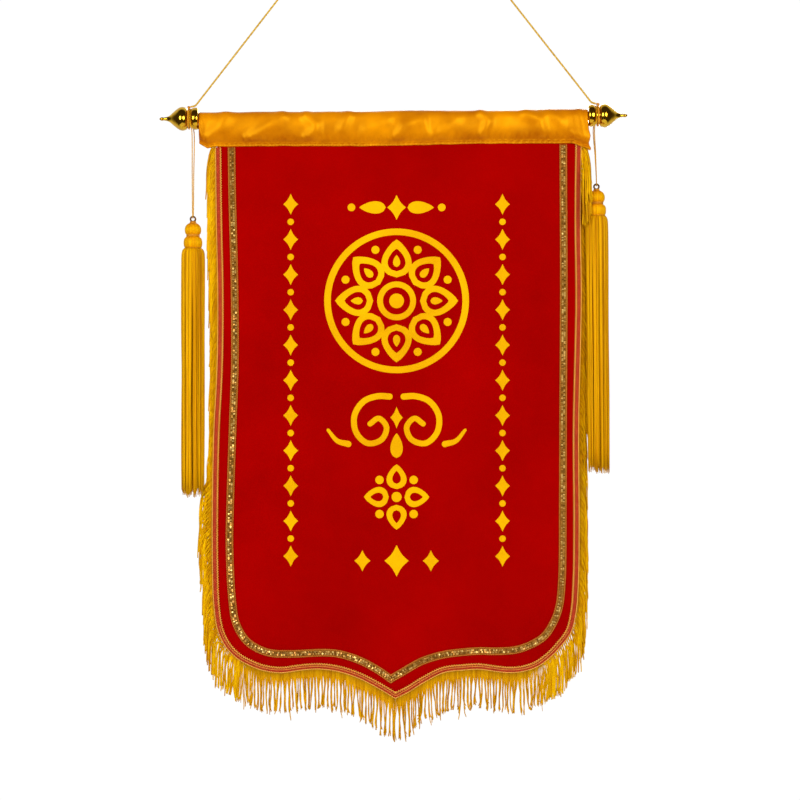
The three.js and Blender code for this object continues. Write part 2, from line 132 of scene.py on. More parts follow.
# Hanging cord. A limp three-ply gold cord, 2.6 mm thick and about 83 cm long, from the knot on the
# left finial's neck over the wall peg to the knot on the right one. The banner's weight pulls it
# straight.
hanger_diameter = 2.6
hanger_ply_radius = 0.66
hanger_ply_offset = 0.62      # from the cord's middle to a ply's middle
hanger_lay = 6.2              # length in which a ply goes once round
weld = 1e-4                   # vertices nearer than this are made one
hanger_route = [
    # x, y, z
    (-260.1, -32, -316.6), (-258.2, -32, -316.3), (-256.1, -32, -315.8), (-254.1, -32, -314.6),
    (-252.5, -32, -313), (-249, -32, -308.5), (-225, -32, -277.6), (-190, -32, -232.4),
    (-155, -32, -187.3), (-120, -32, -142.1), (-85, -32, -96.9), (-50, -32, -51.8),
    (-25, -32, -19.5), (-11.5, -32, -2.1), (-6.2, -32, 4.8), (-3.4, -32, 7.1), (0, -32, 7.9),
    (3.4, -32, 7.1), (6.2, -32, 4.8), (11.5, -32, -1.9), (25, -32, -19.1), (50, -32, -50.9),
    (85, -32, -95.5), (120, -32, -140), (155, -32, -184.5), (190, -32, -229.1),
    (225, -32, -273.6), (249, -32, -304.2), (252.5, -32, -308.8), (254.1, -32, -310.4),
    (256.1, -32, -311.6), (258.2, -32, -312.1), (260.1, -32, -312.4),
]


def smooth_route(points, spacing):
    """Points a spacing apart on the centripetal curve through the points given."""
    stops = np.array(points, float)
    stops = np.vstack([2 * stops[0] - stops[1], stops, 2 * stops[-1] - stops[-2]])
    share = np.linspace(0, 1, 24, endpoint=False)[:, None]
    spans = []
    for a, b, c, d in zip(stops, stops[1:], stops[2:], stops[3:]):
        before, here, after = (math.sqrt(np.linalg.norm(q - p)) for p, q in ((a, b), (b, c), (c, d)))
        leave = here * ((b - a) / before - (c - a) / (before + here) + (c - b) / here)
        arrive = here * ((c - b) / here - (d - b) / (here + after) + (d - c) / after)
        spans.append(b + share * leave + share**2 * (3 * (c - b) - 2 * leave - arrive)
                     + share**3 * (2 * (b - c) + leave + arrive))
    fine = np.vstack([*spans, stops[-2]])
    run = np.r_[0, np.cumsum(np.linalg.norm(np.diff(fine, axis=0), axis=1))]
    places = np.linspace(0, run[-1], max(2, round(run[-1] / spacing) + 1))
    return np.stack([np.interp(places, run, fine[:, k]) for k in range(fine.shape[1])], axis=1)


def route_length(line):
    return float(np.linalg.norm(np.diff(line, axis=0), axis=1).sum())


def twisted(line, plies, offset, lay, start=0.0):
    """The lines of plies laid round a line, one full turn in each lay's length."""
    along = np.gradient(line, axis=0)
    along /= np.linalg.norm(along, axis=1)[:, None]
    side = np.zeros_like(line)
    side[0] = np.cross(along[0], (0.3, 0.9, 0.2))
    for i in range(len(line)):
        if i:
            side[i] = side[i - 1] - along[i] * (side[i - 1] @ along[i])
        side[i] /= np.linalg.norm(side[i])
    other = np.cross(along, side)
    run = np.r_[0, np.cumsum(np.linalg.norm(np.diff(line, axis=0), axis=1))]
    turns = [2 * np.pi * (run / lay + k / plies) + start for k in range(plies)]
    return [line + offset * (np.cos(t)[:, None] * side + np.sin(t)[:, None] * other) for t in turns]


def as_mesh(shape, name):
    """The mesh of a finished bmesh."""
    mesh = bpy.data.meshes.new(name)
    shape.to_mesh(mesh)
    shape.free()
    return mesh


def spun_threads(name, lines, radius, fineness=1, tapers=None):
    """Mesh of round threads, one on each line; tapers hold a share of the radius for each point."""
    curve = bpy.data.curves.new(name, "CURVE")
    curve.dimensions = "3D"
    curve.bevel_depth = radius
    curve.bevel_resolution = fineness
    curve.use_fill_caps = True
    for k, line in enumerate(lines):
        spline = curve.splines.new("POLY")
        spline.points.add(len(line) - 1)
        spline.points.foreach_set("co", np.c_[line, np.ones(len(line))].ravel())
        if tapers is not None:
            spline.points.foreach_set("radius", tapers[k])
        spline.use_smooth = True
    holder = bpy.data.objects.new(name, curve)
    scene.collection.objects.link(holder)
    made = bpy.data.meshes.new_from_object(holder.evaluated_get(bpy.context.evaluated_depsgraph_get()))
    bpy.data.objects.remove(holder)
    bpy.data.curves.remove(curve)
    closed = bmesh.new()
    closed.from_mesh(made)
    bmesh.ops.remove_doubles(closed, verts=closed.verts, dist=weld)
    closed.to_mesh(made)
    closed.free()
    made.shade_smooth()
    return made


def joined(*meshes):
    """One mesh from several."""
    whole = bmesh.new()
    for mesh in meshes:
        whole.from_mesh(mesh)
    return as_mesh(whole, "joined")


def add_piece(name, mesh, material, slot, *stands_for):
    """Makes a piece of the banner from a mesh in millimetres."""
    mesh.transform(Matrix.Scale(MM, 4))
    mesh.name = name
    mesh.materials.clear()
    mesh.materials.append(material)
    piece = bpy.data.objects.new(name, mesh)
    scene.collection.objects.link(piece)
    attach(piece, "root")
    if stands_for:
        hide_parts(*stands_for)
    return piece


def plain_material(name, color, roughness, metallic=0.0):
    """A material with one Principled shader, and that shader."""
    material = bpy.data.materials.new(name)
    material.use_nodes = True
    shader = material.node_tree.nodes["Principled BSDF"]
    shader.inputs["Base Color"].default_value = (*color, 1)
    shader.inputs["Roughness"].default_value = roughness
    shader.inputs["Metallic"].default_value = metallic
    return material, shader


def tinted_gloss(shader, level, tint):
    """Gloss that takes the colour of the dyed or plated surface."""
    shader.inputs["Specular IOR Level"].default_value = level
    shader.inputs["Specular Tint"].default_value = (*tint, 1)


def tones(material, factor, stops):
    """Colours read along a factor, from stops of (place, colour)."""
    ramp = material.node_tree.nodes.new("ShaderNodeValToRGB")
    elements = ramp.color_ramp.elements
    first, *between, last = stops
    for stop, (place, color) in zip(elements, (first, last)):
        stop.position = place
        stop.color = (*color, 1)
    for place, color in between:
        elements.new(place).color = (*color, 1)
    material.node_tree.links.new(factor, ramp.inputs["Fac"])
    return ramp.outputs["Color"]


def bumped(material, height, strength, distance):
    """Fine relief on the surface; distance is in metres."""
    nodes = material.node_tree.nodes
    bump = nodes.new("ShaderNodeBump")
    bump.inputs["Strength"].default_value = strength
    bump.inputs["Distance"].default_value = distance
    material.node_tree.links.new(height, bump.inputs["Height"])
    material.node_tree.links.new(bump.outputs["Normal"], nodes["Principled BSDF"].inputs["Normal"])
    return bump


def silky_fibre_effect():
    """Shared effect: fine fibres that run with the thread, lighter and darker from thread to thread."""
    group = bpy.data.node_groups.new("silky_fibres", "ShaderNodeTree")
    for socket, kind in (("Place", "Vector"), ("Thread", "Float"), ("Light", "Color"),
                         ("Dark", "Color"), ("Fineness", "Float")):
        group.interface.new_socket(socket, in_out="INPUT", socket_type="NodeSocket" + kind)
    for socket, kind in (("Color", "Color"), ("Roughness", "Float"), ("Height", "Float")):
        group.interface.new_socket(socket, in_out="OUTPUT", socket_type="NodeSocket" + kind)
    enter = group.nodes.new("NodeGroupInput")
    leave = group.nodes.new("NodeGroupOutput")
    fibres = group.nodes.new("ShaderNodeTexNoise")
    fibres.inputs["Detail"].default_value = 3
    broad_scale = group.nodes.new("ShaderNodeMath")
    broad_scale.operation = "MULTIPLY"
    broad_scale.inputs[1].default_value = 0.11
    locks = group.nodes.new("ShaderNodeTexNoise")
    locks.inputs["Detail"].default_value = 2
    uneven = group.nodes.new("ShaderNodeMath")
    uneven.operation = "MULTIPLY_ADD"
    uneven.inputs[1].default_value = 0.55
    uneven.inputs[2].default_value = -0.8
    broad = group.nodes.new("ShaderNodeMath")
    broad.operation = "MULTIPLY_ADD"
    broad.inputs[1].default_value = 1.3
    shade = group.nodes.new("ShaderNodeMath")
    shade.operation = "MULTIPLY_ADD"
    shade.inputs[1].default_value = 0.6
    shade.use_clamp = True
    mix = group.nodes.new("ShaderNodeMix")
    mix.data_type = "RGBA"
    rough = group.nodes.new("ShaderNodeMapRange")
    rough.inputs["To Min"].default_value = 0.36
    rough.inputs["To Max"].default_value = 0.56
    link = group.links.new
    link(enter.outputs["Place"], fibres.inputs["Vector"])
    link(enter.outputs["Fineness"], fibres.inputs["Scale"])
    link(enter.outputs["Fineness"], broad_scale.inputs[0])
    link(broad_scale.outputs[0], locks.inputs["Scale"])
    link(enter.outputs["Place"], locks.inputs["Vector"])
    link(fibres.outputs["Fac"], uneven.inputs[0])
    link(locks.outputs["Fac"], broad.inputs[0])
    link(uneven.outputs[0], broad.inputs[2])
    link(enter.outputs["Thread"], shade.inputs[0])
    link(broad.outputs[0], shade.inputs[2])
    link(shade.outputs[0], mix.inputs["Factor"])
    link(enter.outputs["Dark"], mix.inputs["A"])
    link(enter.outputs["Light"], mix.inputs["B"])
    link(fibres.outputs["Fac"], rough.inputs["Value"])
    link(mix.outputs["Result"], leave.inputs["Color"])
    link(rough.outputs["Result"], leave.inputs["Roughness"])
    link(fibres.outputs["Fac"], leave.inputs["Height"])
    return group


silky_fibres = silky_fibre_effect()


def thread_material(name, light, dark, stretch=(1, 1, 0.07), fineness=2600.0, along=None):
    """Shiny rayon thread; stretch draws the fibres out, along holds painted shade and light from its root to
    its tip.
    """
    material, shader = plain_material(name, light, 0.45)
    nodes = material.node_tree.nodes
    link = material.node_tree.links.new
    place = nodes.new("ShaderNodeTexCoord")
    drawn = nodes.new("ShaderNodeMapping")
    drawn.inputs["Scale"].default_value = stretch
    thread = nodes.new("ShaderNodeNewGeometry")
    effect = nodes.new("ShaderNodeGroup")
    effect.node_tree = silky_fibres
    effect.inputs["Light"].default_value = (*light, 1)
    effect.inputs["Dark"].default_value = (*dark, 1)
    effect.inputs["Fineness"].default_value = fineness
    link(place.outputs["Object"], drawn.inputs["Vector"])
    link(drawn.outputs["Vector"], effect.inputs["Place"])
    link(thread.outputs["Random Per Island"], effect.inputs["Thread"])
    color = effect.outputs["Color"]
    # Painted shade: tones multiplied in along the thread's run, darker where it lies in shade.
    if along is not None:
        run = nodes.new("ShaderNodeSeparateXYZ")
        toned = nodes.new("ShaderNodeMix")
        toned.data_type = "RGBA"
        toned.blend_type = "MULTIPLY"
        toned.inputs["Factor"].default_value = 1.0
        link(place.outputs["UV"], run.inputs[0])
        link(color, toned.inputs["A"])
        link(tones(material, run.outputs["X"], along), toned.inputs["B"])
        color = toned.outputs["Result"]
    link(color, shader.inputs["Base Color"])
    link(effect.outputs["Roughness"], shader.inputs["Roughness"])
    bumped(material, effect.outputs["Height"], 0.35, 0.0002)
    tinted_gloss(shader, 0.3, (1.0, 0.68, 0.12))
    return material


cord_thread = thread_material("cord_thread", (0.84, 0.58, 0.08), (0.60, 0.33, 0.03), (1, 1, 1))
hanger_line = smooth_route(hanger_route, 0.62)
hanger_plies = spun_threads("hanger", twisted(hanger_line, 3, hanger_ply_offset, hanger_lay),
                            hanger_ply_radius)
hanging_cord = add_piece("hanging_cord", hanger_plies, cord_thread, "gold_cord", "hanger_cord")

# Tied loops. The hanging cord goes once round the outer part of each neck and is knotted to itself
# on top, where the cord leaves.
rod_drop = 330.0              # the rod's axis below the peg's axis, at the middle of the rod
rod_tilt = 0.0077             # rise of the rod for each millimetre towards the right
neck_radius = 11.0
hanger_loop_x = 262.6
tassel_loop_x = 260.2
loop_gap = 0.35               # air between pieces that touch
loop_ply_radius = 0.62
loop_lay = 5.8
knot_ply_radius = 0.5


def rod_axis_z(x):
    return -rod_drop + rod_tilt * x


def neck_loop(centre_x, radius):
    """The hanging cord's three plies, once round a neck."""
    around = np.linspace(0, 2 * np.pi, round(2 * np.pi * radius / 0.6))
    ring = np.stack([
        centre_x + 0 * around,
        hang_plane + radius * np.sin(around),
        rod_axis_z(centre_x) + radius * np.cos(around),
    ], axis=1)
    return twisted(ring, 3, loop_ply_radius * 0.94, loop_lay)


def overhand_knot(centre, size):
    """Line of a small overhand knot."""
    t = np.linspace(0, 2 * np.pi, 90)
    line = np.stack([
        (np.sin(t) + 2 * np.sin(2 * t)) * 0.62, -np.sin(3 * t) * 1.1,
        (np.cos(t) - 2 * np.cos(2 * t)) * 0.5,
    ], axis=1)
    return line * size + np.array(centre)


loop_thread = thread_material("loop_thread", (0.84, 0.38, 0.02), (0.60, 0.20, 0.005), (1, 1, 1))
for side_name, hand in (("left", -1), ("right", 1)):
    loop_radius = neck_radius + loop_gap + hanger_diameter / 2
    loop_x = hand * hanger_loop_x
    loop_lines = neck_loop(loop_x, loop_radius)
    knot_middle = (loop_x, hang_plane, rod_axis_z(loop_x) + loop_radius + 1.9)
    knot_lines = twisted(overhand_knot(knot_middle, 0.92), 2, 0.42, 4.0)
    loop_mesh = joined(spun_threads("loop", loop_lines, loop_ply_radius),
                       spun_threads("knot", knot_lines, knot_ply_radius))
    add_piece(f"tied_loop_{side_name}", loop_mesh, loop_thread, "gold_cord",
                                   f"hanger_loop_{side_name}")

# Tassel cords. A thin two-ply cord for each tassel, looped over the finial's neck by the collar,
# both its strands hanging down and meeting in the tassel's ring.
tassel_cord_diameter = 1.4
tassel_ply_offset = 0.36
tassel_ply_radius = 0.44
tassel_cord_lay = 3.4
ring_radius = 3.2
ring_wire = 1.1               # the wire's radius
tassels = [
    # side, hand, ring's x, ring's drop, skirt's radius, skirt's length, lean of the tassel
    ("left", -1, -257.6, 131.0, 14.6, 309.0, 0.0),
    ("right", 1, 260.8, 89.4, 13.7, 322.0, -0.009),
]
tassel_cord_thread = thread_material("tassel_cord_thread", (0.78, 0.40, 0.004), (0.42, 0.15, 0.0),
                                     (1, 1, 1))


def tassel_cord_route(hand, ring_x, ring_drop):
    """From inside the ring up in front to the neck, over it, and down behind to the ring."""
    neck_z = rod_axis_z(hand * tassel_loop_x)
    ring_top = -rod_drop - ring_drop + ring_radius
    turn = ring_wire + tassel_cord_diameter / 2 + 0.3
    over = neck_radius + loop_gap + tassel_cord_diameter / 2
    hang = neck_z - ring_top
    strand = [
        # x, half depth, z
        (ring_x, 0.4, ring_top - turn * 0.98), (ring_x, turn * 0.72, ring_top - turn * 0.7),
        (ring_x, turn, ring_top), (ring_x, 2.8, ring_top + 5),
        (ring_x * 0.6 + hand * 257.6 * 0.4, 6.2, ring_top + hang * 0.4),
        (hand * 257.6, 11.2, neck_z - 17), (hand * 258.6, 12.3, neck_z - 11.5),
        (hand * 259.9, 12.6, neck_z - 6), (hand * tassel_loop_x, over, neck_z),
    ]
    apart = [0, 0, 0.1, 0.25, 0.3, 0.25, 0.1, 0, 0]    # sideways, so that both strands show
    front = [(x - gap, hang_plane - half, z) for gap, (x, half, z) in zip(apart, strand)]
    back = [(x + gap, hang_plane + half, z) for gap, (x, half, z) in zip(apart[::-1], reversed(strand))]
    arc = [math.radians(degrees) for degrees in (60, 30, 0, -30, -60)]
    top = [(hand * tassel_loop_x, hang_plane - over * math.sin(angle), neck_z + over * math.cos(angle))
           for angle in arc]
    return smooth_route(front + top + back, 0.7)


for side_name, hand, ring_x, ring_drop, *_ in tassels:
    line = tassel_cord_route(hand, ring_x, ring_drop)
    cord_name = f"tassel_cord_{side_name}"
    cord_mesh = spun_threads(cord_name, twisted(line, 2, tassel_ply_offset, tassel_cord_lay),
                             tassel_ply_radius)
    piece = add_piece(f"tassel_hanger_{side_name}", cord_mesh, tassel_cord_thread, "gold_cord", cord_name)

# Wall peg. A plain turned metal peg, 60 mm long, on a round base against the wall, painted a warm
# off-white. The hanging cord lies over it.
peg_rows = [
    # along from the wall, radius
    (0, 0), (0, 14.4), (0.6, 15), (2.6, 15), (3.6, 14.4), (4.2, 13.2), (4.8, 9), (5.8, 6.8), (7.5, 6),
    (49, 6), (50.6, 6.5), (52, 7.8), (54.6, 9), (57.2, 8.3), (59.2, 5), (60, 0),
]


def turned(rows, sides):
    """Lathe work: rows of (along, radius) spun about the x axis into a closed body."""
    body = bmesh.new()
    profile = [body.verts.new((along, 0, radius)) for along, radius in rows]
    edges = [body.edges.new(pair) for pair in zip(profile, profile[1:])]
    bmesh.ops.spin(body, geom=profile + edges, cent=(0, 0, 0), axis=(1, 0, 0), angle=2 * math.pi,
                   steps=sides, use_merge=True)
    bmesh.ops.remove_doubles(body, verts=body.verts, dist=weld)
    bmesh.ops.recalc_face_normals(body, faces=body.faces)
    mesh = as_mesh(body, "turned")
    mesh.shade_smooth()
    return mesh


def noise_over(material, scale, detail=2.0, stretch=None):
    """A noise that lies over a piece in its own place; stretch squeezes it along the three axes."""
    nodes = material.node_tree.nodes
    link = material.node_tree.links.new
    place = nodes.new("ShaderNodeTexCoord").outputs["Object"]
    if stretch:
        drawn = nodes.new("ShaderNodeMapping")
        drawn.inputs["Scale"].default_value = stretch
        link(place, drawn.inputs["Vector"])
        place = drawn.outputs["Vector"]
    noise = nodes.new("ShaderNodeTexNoise")
    noise.inputs["Scale"].default_value = scale
    noise.inputs["Detail"].default_value = detail
    link(place, noise.inputs["Vector"])
    return noise.outputs["Fac"]


def dyed(material, factor, stops):
    """Base colour read along a factor, from stops of (place, colour)."""
    shader = material.node_tree.nodes["Principled BSDF"]
    material.node_tree.links.new(tones(material, factor, stops), shader.inputs["Base Color"])


def rougher(material, factor, low, high):
    """Roughness between low and high along a factor."""
    nodes = material.node_tree.nodes
    spread = nodes.new("ShaderNodeMapRange")
    spread.inputs["To Min"].default_value = low
    spread.inputs["To Max"].default_value = high
    material.node_tree.links.new(factor, spread.inputs["Value"])
    material.node_tree.links.new(spread.outputs["Result"], nodes["Principled BSDF"].inputs["Roughness"])


def painted_metal():
    """Satin paint with a faint orange peel and a few darker rubbed patches."""
    material, _ = plain_material("painted_peg", (0.70, 0.68, 0.64), 0.42)
    rubbed = noise_over(material, 90)
    dyed(material, rubbed, [(0.3, (0.55, 0.53, 0.49)), (0.5, (0.72, 0.70, 0.66))])
    orange_peel = noise_over(material, 700)
    bumped(material, orange_peel, 0.2, 0.0002)
    return material


peg_mesh = turned(peg_rows, 56)
peg_mesh.transform(Matrix.Rotation(-math.pi / 2, 4, "Z"))
add_piece("turned_peg", peg_mesh, painted_metal(), "painted_peg", "wall_peg")

# Finials. Turned ends with a collar, a neck for the cords, a ball and a spike, about 51 mm long,
# gold plated and polished, slipped over the rod's ends.
collar_face = 250.0
bore_radius = 6.35
bore_depth = 13.0
finial_bands = [
    # rows of (along from the collar's face, radius); the curve is broken between the bands
    [(0, 12.2), (0.7, 13.3), (2.6, 13.95), (5, 14.1), (7.3, 13.75), (8.6, 12.9), (9.2, 11.6)],
    [(9.3, 11), (14.6, 11)],
    [(14.75, 12.1), (15.4, 13.1), (17, 14.2), (19.4, 15), (21.8, 15.15), (24.4, 14.5), (27.2, 12.9),
     (30.2, 10.6), (33, 8.2), (35.6, 5.8), (38, 3.9), (40.5, 2.8), (44, 2.05), (45, 1.9), (47.2, 2.3),
     (49.2, 1.75), (50.4, 0.8), (50.8, 0)],
]


def plated_gold():
    """Polished gold plating on metal, with fine hairline scratches and a little uneven tone."""
    material, _ = plain_material("plated_gold", (0.78, 0.47, 0.06), 0.13, 1.0)
    clouds = noise_over(material, 130)
    dyed(material, clouds, [(0.25, (0.62, 0.32, 0.012)), (0.7, (0.82, 0.50, 0.03))])
    turning_marks = noise_over(material, 420, stretch=(9, 1, 1))
    rougher(material, turning_marks, 0.06, 0.2)
    return material


gold_plating = plated_gold()
finial_rows = [(bore_depth, 0), (bore_depth, bore_radius), (0, bore_radius)]
for band in finial_bands:
    finial_rows += [(along, max(radius, 0.0)) for along, radius in smooth_route(band, 0.45)]
for side_name, hand in (("left", -1), ("right", 1)):
    finial_mesh = turned(finial_rows, 72)
    if hand < 0:
        finial_mesh.transform(Matrix.Rotation(math.pi, 4, "Z"))
    finial_mesh.transform(Matrix.Rotation(-math.atan(rod_tilt), 4, "Y"))
    face_x = hand * collar_face
    finial_mesh.transform(Matrix.Translation((face_x, hang_plane, rod_axis_z(face_x))))
    add_piece(f"plated_finial_{side_name}", finial_mesh, gold_plating, "plated_gold",
              f"finial_{side_name}")

# Rod. A plain round wooden rod, 12 mm thick, inside the sleeve; it keeps its CAD solid.


def rod_wood():
    """Pale softwood with its grain along the rod."""
    material, _ = plain_material("rod_wood", (0.56, 0.36, 0.17), 0.6)
    grain = noise_over(material, 2.5, 5, (6, 140, 140))
    dyed(material, grain, [(0, (0.36, 0.20, 0.08)), (1, (0.62, 0.42, 0.21))])
    bumped(material, grain, 0.2, 0.0003)
    return material


rod_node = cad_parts["rod"]
rod_node.data.materials.clear()
rod_node.data.materials.append(rod_wood())

# Velvet panel. One sheet of red velvet about 470 by 711 mm with a shield-shaped foot. It hangs
# nearly flat, with faint broad folds and a slight curl at its edges.
velvet_thickness = 1.6
velvet_top_drop = 29.5        # drops are measured down from the rod's axis
tape_half_width = 3.8
velvet_edge_under_tape = 1.4
left_hem_rows = [
    # x, drop of the fringe tape's middle line
    (-225, 38.9), (-224, 136), (-222, 235), (-223, 326), (-227, 403), (-229, 492), (-229, 569),
    (-227, 626), (-222, 658), (-213, 677), (-200, 691), (-185, 700), (-167, 707), (-145, 710),
    (-116, 706.5), (-94, 705.5), (-69, 709), (-42, 718), (-16, 731.5), (2.5, 742.5),
]
right_hem_rows = [
    (2.5, 742.5), (17, 735.5), (37, 723), (63, 710), (89, 706.5), (111, 705.5), (133, 708.5),
    (150, 710), (166, 708.5), (183, 703), (199, 691.5), (212, 678), (225, 660), (231, 636),
    (234, 595), (235, 518), (234.5, 402), (237.5, 235), (236.5, 136), (237.5, 35),
]


def smoothstep(value, low, high):
    t = np.clip((np.asarray(value, float) - low) / (high - low), 0, 1)
    return t * t * (3 - 2 * t)


def cloth_wave(x, drop):
    """How far the velvet's middle lies behind the hanging plane."""
    broad_fold = 1.3 * np.sin(x / 52 + drop / 260 + 0.7)
    edge_curl = 1.5 * (x / 230) ** 2 * np.sin(drop / 58 + np.sign(x))
    return smoothstep(drop, 44, 190) * (broad_fold + edge_curl)


def on_cloth(x, drop, ahead):
    """Points in front of the velvet's middle, for arrays of x and drop."""
    x, drop = np.asarray(x, float), np.asarray(drop, float)
    return np.stack([x, hang_plane + cloth_wave(x, drop) - ahead, -rod_drop - drop], axis=-1)


def outwards(line):
    """Outward direction at each point of a line that runs down the left and up the right side."""
    steps = np.diff(line, axis=0)
    steps /= np.linalg.norm(steps, axis=1)[:, None]
    before = np.vstack([steps[:1], steps])
    after = np.vstack([steps, steps[-1:]])
    along = before + after
    along /= np.linalg.norm(along, axis=1)[:, None]
    half = np.maximum((along * before).sum(axis=1), 0.4)
    return np.stack([-along[:, 1], along[:, 0]], axis=1) / half[:, None]


def offset_line(line, distance):
    return line + outwards(line) * distance


def share_of(line, shares):
    """Points of a line at shares of its length."""
    run = np.r_[0, np.cumsum(np.linalg.norm(np.diff(line, axis=0), axis=1))]
    wanted = np.asarray(shares) * run[-1]
    return np.stack([np.interp(wanted, run, line[:, k]) for k in range(line.shape[1])], axis=-1)


def laid_grid(across, down, place):
    """Grid of quads with its UV map, each point put at place(u, v), u and v from 0 to 1."""
    cloth = bmesh.new()
    cloth.loops.layers.uv.new("UVMap")
    bmesh.ops.create_grid(cloth, x_segments=across, y_segments=down, size=0.5, calc_uvs=True)
    mesh = as_mesh(cloth, "grid")
    flat = np.empty(3 * len(mesh.vertices))
    mesh.vertices.foreach_get("co", flat)
    mesh.vertices.foreach_set("co", place(flat[0::3] + 0.5, flat[1::3] + 0.5).ravel())
    mesh.update()
    mesh.shade_smooth()
    return mesh


def thicken(piece, thickness, offset=0.0):
    """Gives a sheet its thickness, about its middle or, with an offset of 1, in front of it."""
    wall = piece.modifiers.new("thickness", "SOLIDIFY")
    wall.thickness = thickness * MM
    wall.offset = offset


left_hem = smooth_route(left_hem_rows, 2.5)
right_hem = smooth_route(right_hem_rows, 2.5)
hem_line = np.vstack([left_hem, right_hem[1:]])
velvet_outline = offset_line(hem_line, velvet_edge_under_tape)
velvet_left = velvet_outline[:len(left_hem)]
velvet_right = velvet_outline[len(left_hem) - 1:]
corner_share = 39 / 48         # where a side turns into the bottom


def velvet_place(u, v):
    """The sheet's points: v runs from the top, 0, to the foot, 1."""
    top_left = np.array((velvet_left[0, 0], velvet_top_drop))
    top_right = np.array((velvet_right[-1, 0], velvet_top_drop))
    left_side = share_of(velvet_left, np.linspace(0, corner_share, 400))
    right_side = share_of(velvet_right, np.linspace(1, 1 - corner_share, 400))
    left_side[0], right_side[0] = top_left, top_right
    left = share_of(left_side, v)
    right = share_of(right_side, v)
    foot = share_of(np.vstack([share_of(velvet_left, np.linspace(corner_share, 1, 300)),
                               share_of(velvet_right, np.linspace(0, 1 - corner_share, 300))[1:]]), u)
    corners = (left_side[-1], right_side[-1])
    u, v = u[:, None], v[:, None]
    sides = left + (right - left) * u
    top = top_left + (top_right - top_left) * u
    rise = top + (foot - top) * v
    flat = top + (corners[0] + (corners[1] - corners[0]) * u - top) * v
    place = sides + rise - flat
    return on_cloth(place[:, 0], place[:, 1], 0)


def added(material, fine, share, broad):
    """A share of a fine noise on top of a broad one."""
    total = material.node_tree.nodes.new("ShaderNodeMath")
    total.operation = "MULTIPLY_ADD"
    total.inputs[1].default_value = share
    material.node_tree.links.new(fine, total.inputs[0])
    material.node_tree.links.new(broad, total.inputs[2])
    return total.outputs[0]


def red_velvet():
    """Dense short pile: deep red that lightens where the pile leans away, with a fine nap."""
    material, shader = plain_material("red_velvet", (0.42, 0.0, 0.0), 0.9)
    leaning = noise_over(material, 7, 6)
    leaning.node.inputs["Roughness"].default_value = 0.62
    nap = noise_over(material, 1900)
    uneven = added(material, nap, 0.3, leaning)
    dyed(material, uneven, [(0.42, (0.285, 0.0, 0.0)), (0.86, (0.38, 0.0, 0.0))])
    bumped(material, nap, 0.35, 0.0004)
    tinted_gloss(shader, 0.08, (1.0, 0.1, 0.08))
    shader.inputs["Sheen Weight"].default_value = 0.3
    shader.inputs["Sheen Roughness"].default_value = 0.4
    shader.inputs["Sheen Tint"].default_value = (0.9, 0.02, 0.01, 1)
    return material


panel = add_piece("velvet_sheet", laid_grid(110, 150, velvet_place), red_velvet(), "red_velvet", "panel")
thicken(panel, velvet_thickness)

# Gold ornaments. Pieces of gold flocked cloth bonded to the velvet, 0.5 mm proud of it: a round
# lotus medallion, a pair of cloud scrolls and a rosette below it, lozenges and dots down the sides.
ornament_middle = 4.0
medallion_drop = 236.0
scroll_drop = 392.0
rosette_drop = 488.0
top_row_drop = 116.0
foot_row_drop = 570.0
side_column = 136.0           # from the ornaments' middle to the middle of a side column
flock_proud = 0.5
flock_half_extrude = 0.2
flock_edge_round = 0.12


def round_outline(x, drop, radius, sides=56):
    angle = np.linspace(0, 2 * np.pi, sides, endpoint=False)
    return np.stack([x + radius * np.cos(angle), drop + radius * np.sin(angle)], axis=1)


def petal_outline(x, drop, degrees, near, far, half_width):
    """A petal that points away from (x, drop), rounded at its foot."""
    t = np.linspace(0, 1, 15)
    run = near + (far - near) * t
    half = half_width * np.clip(np.sin(np.pi * t**0.72), 0.002, 1) ** 0.75
    away = np.r_[run, run[-2:0:-1]]
    across = np.r_[half, -half[-2:0:-1]]
    turn = math.radians(degrees)
    return np.stack([x + away * math.sin(turn) + across * math.cos(turn),
                     drop - away * math.cos(turn) + across * math.sin(turn)], axis=1)


def lozenge_outline(x, drop, half_width, half_height):
    """A lozenge with hollow sides."""
    t = np.linspace(0, 1, 6)[:-1]
    bow = 0.16 * np.sin(np.pi * t)
    corner = [(0, -1), (1, 0), (0, 1), (-1, 0)]
    places = []
    for (x1, d1), (x2, d2) in zip(corner, corner[1:] + corner[:1]):
        for share, pull in zip(t, bow):
            places.append(((x1 + (x2 - x1) * share) * (1 - pull), (d1 + (d2 - d1) * share) * (1 - pull)))
    return np.array(places) * (half_width, half_height) + (x, drop)


def scroll_outline(rows, start_width, end_width):
    """A rounded stroke along a curve through rows of (x, drop)."""
    line = smooth_route(rows, 2.0)
    half = np.linspace(start_width, end_width, len(line)) / 2
    out = outwards(line)
    out /= np.linalg.norm(out, axis=1)[:, None]
    ends = []
    for place, across, width in ((line[-1], out[-1], half[-1]), (line[0], -out[0], half[0])):
        ahead = np.array((across[1], -across[0]))
        turn = np.linspace(0, np.pi, 9)[1:-1]
        ends.append(place + width * (np.cos(turn)[:, None] * across + np.sin(turn)[:, None] * ahead))
    return np.vstack([line + out * half[:, None], ends[0], (line - out * half[:, None])[::-1], ends[1]])


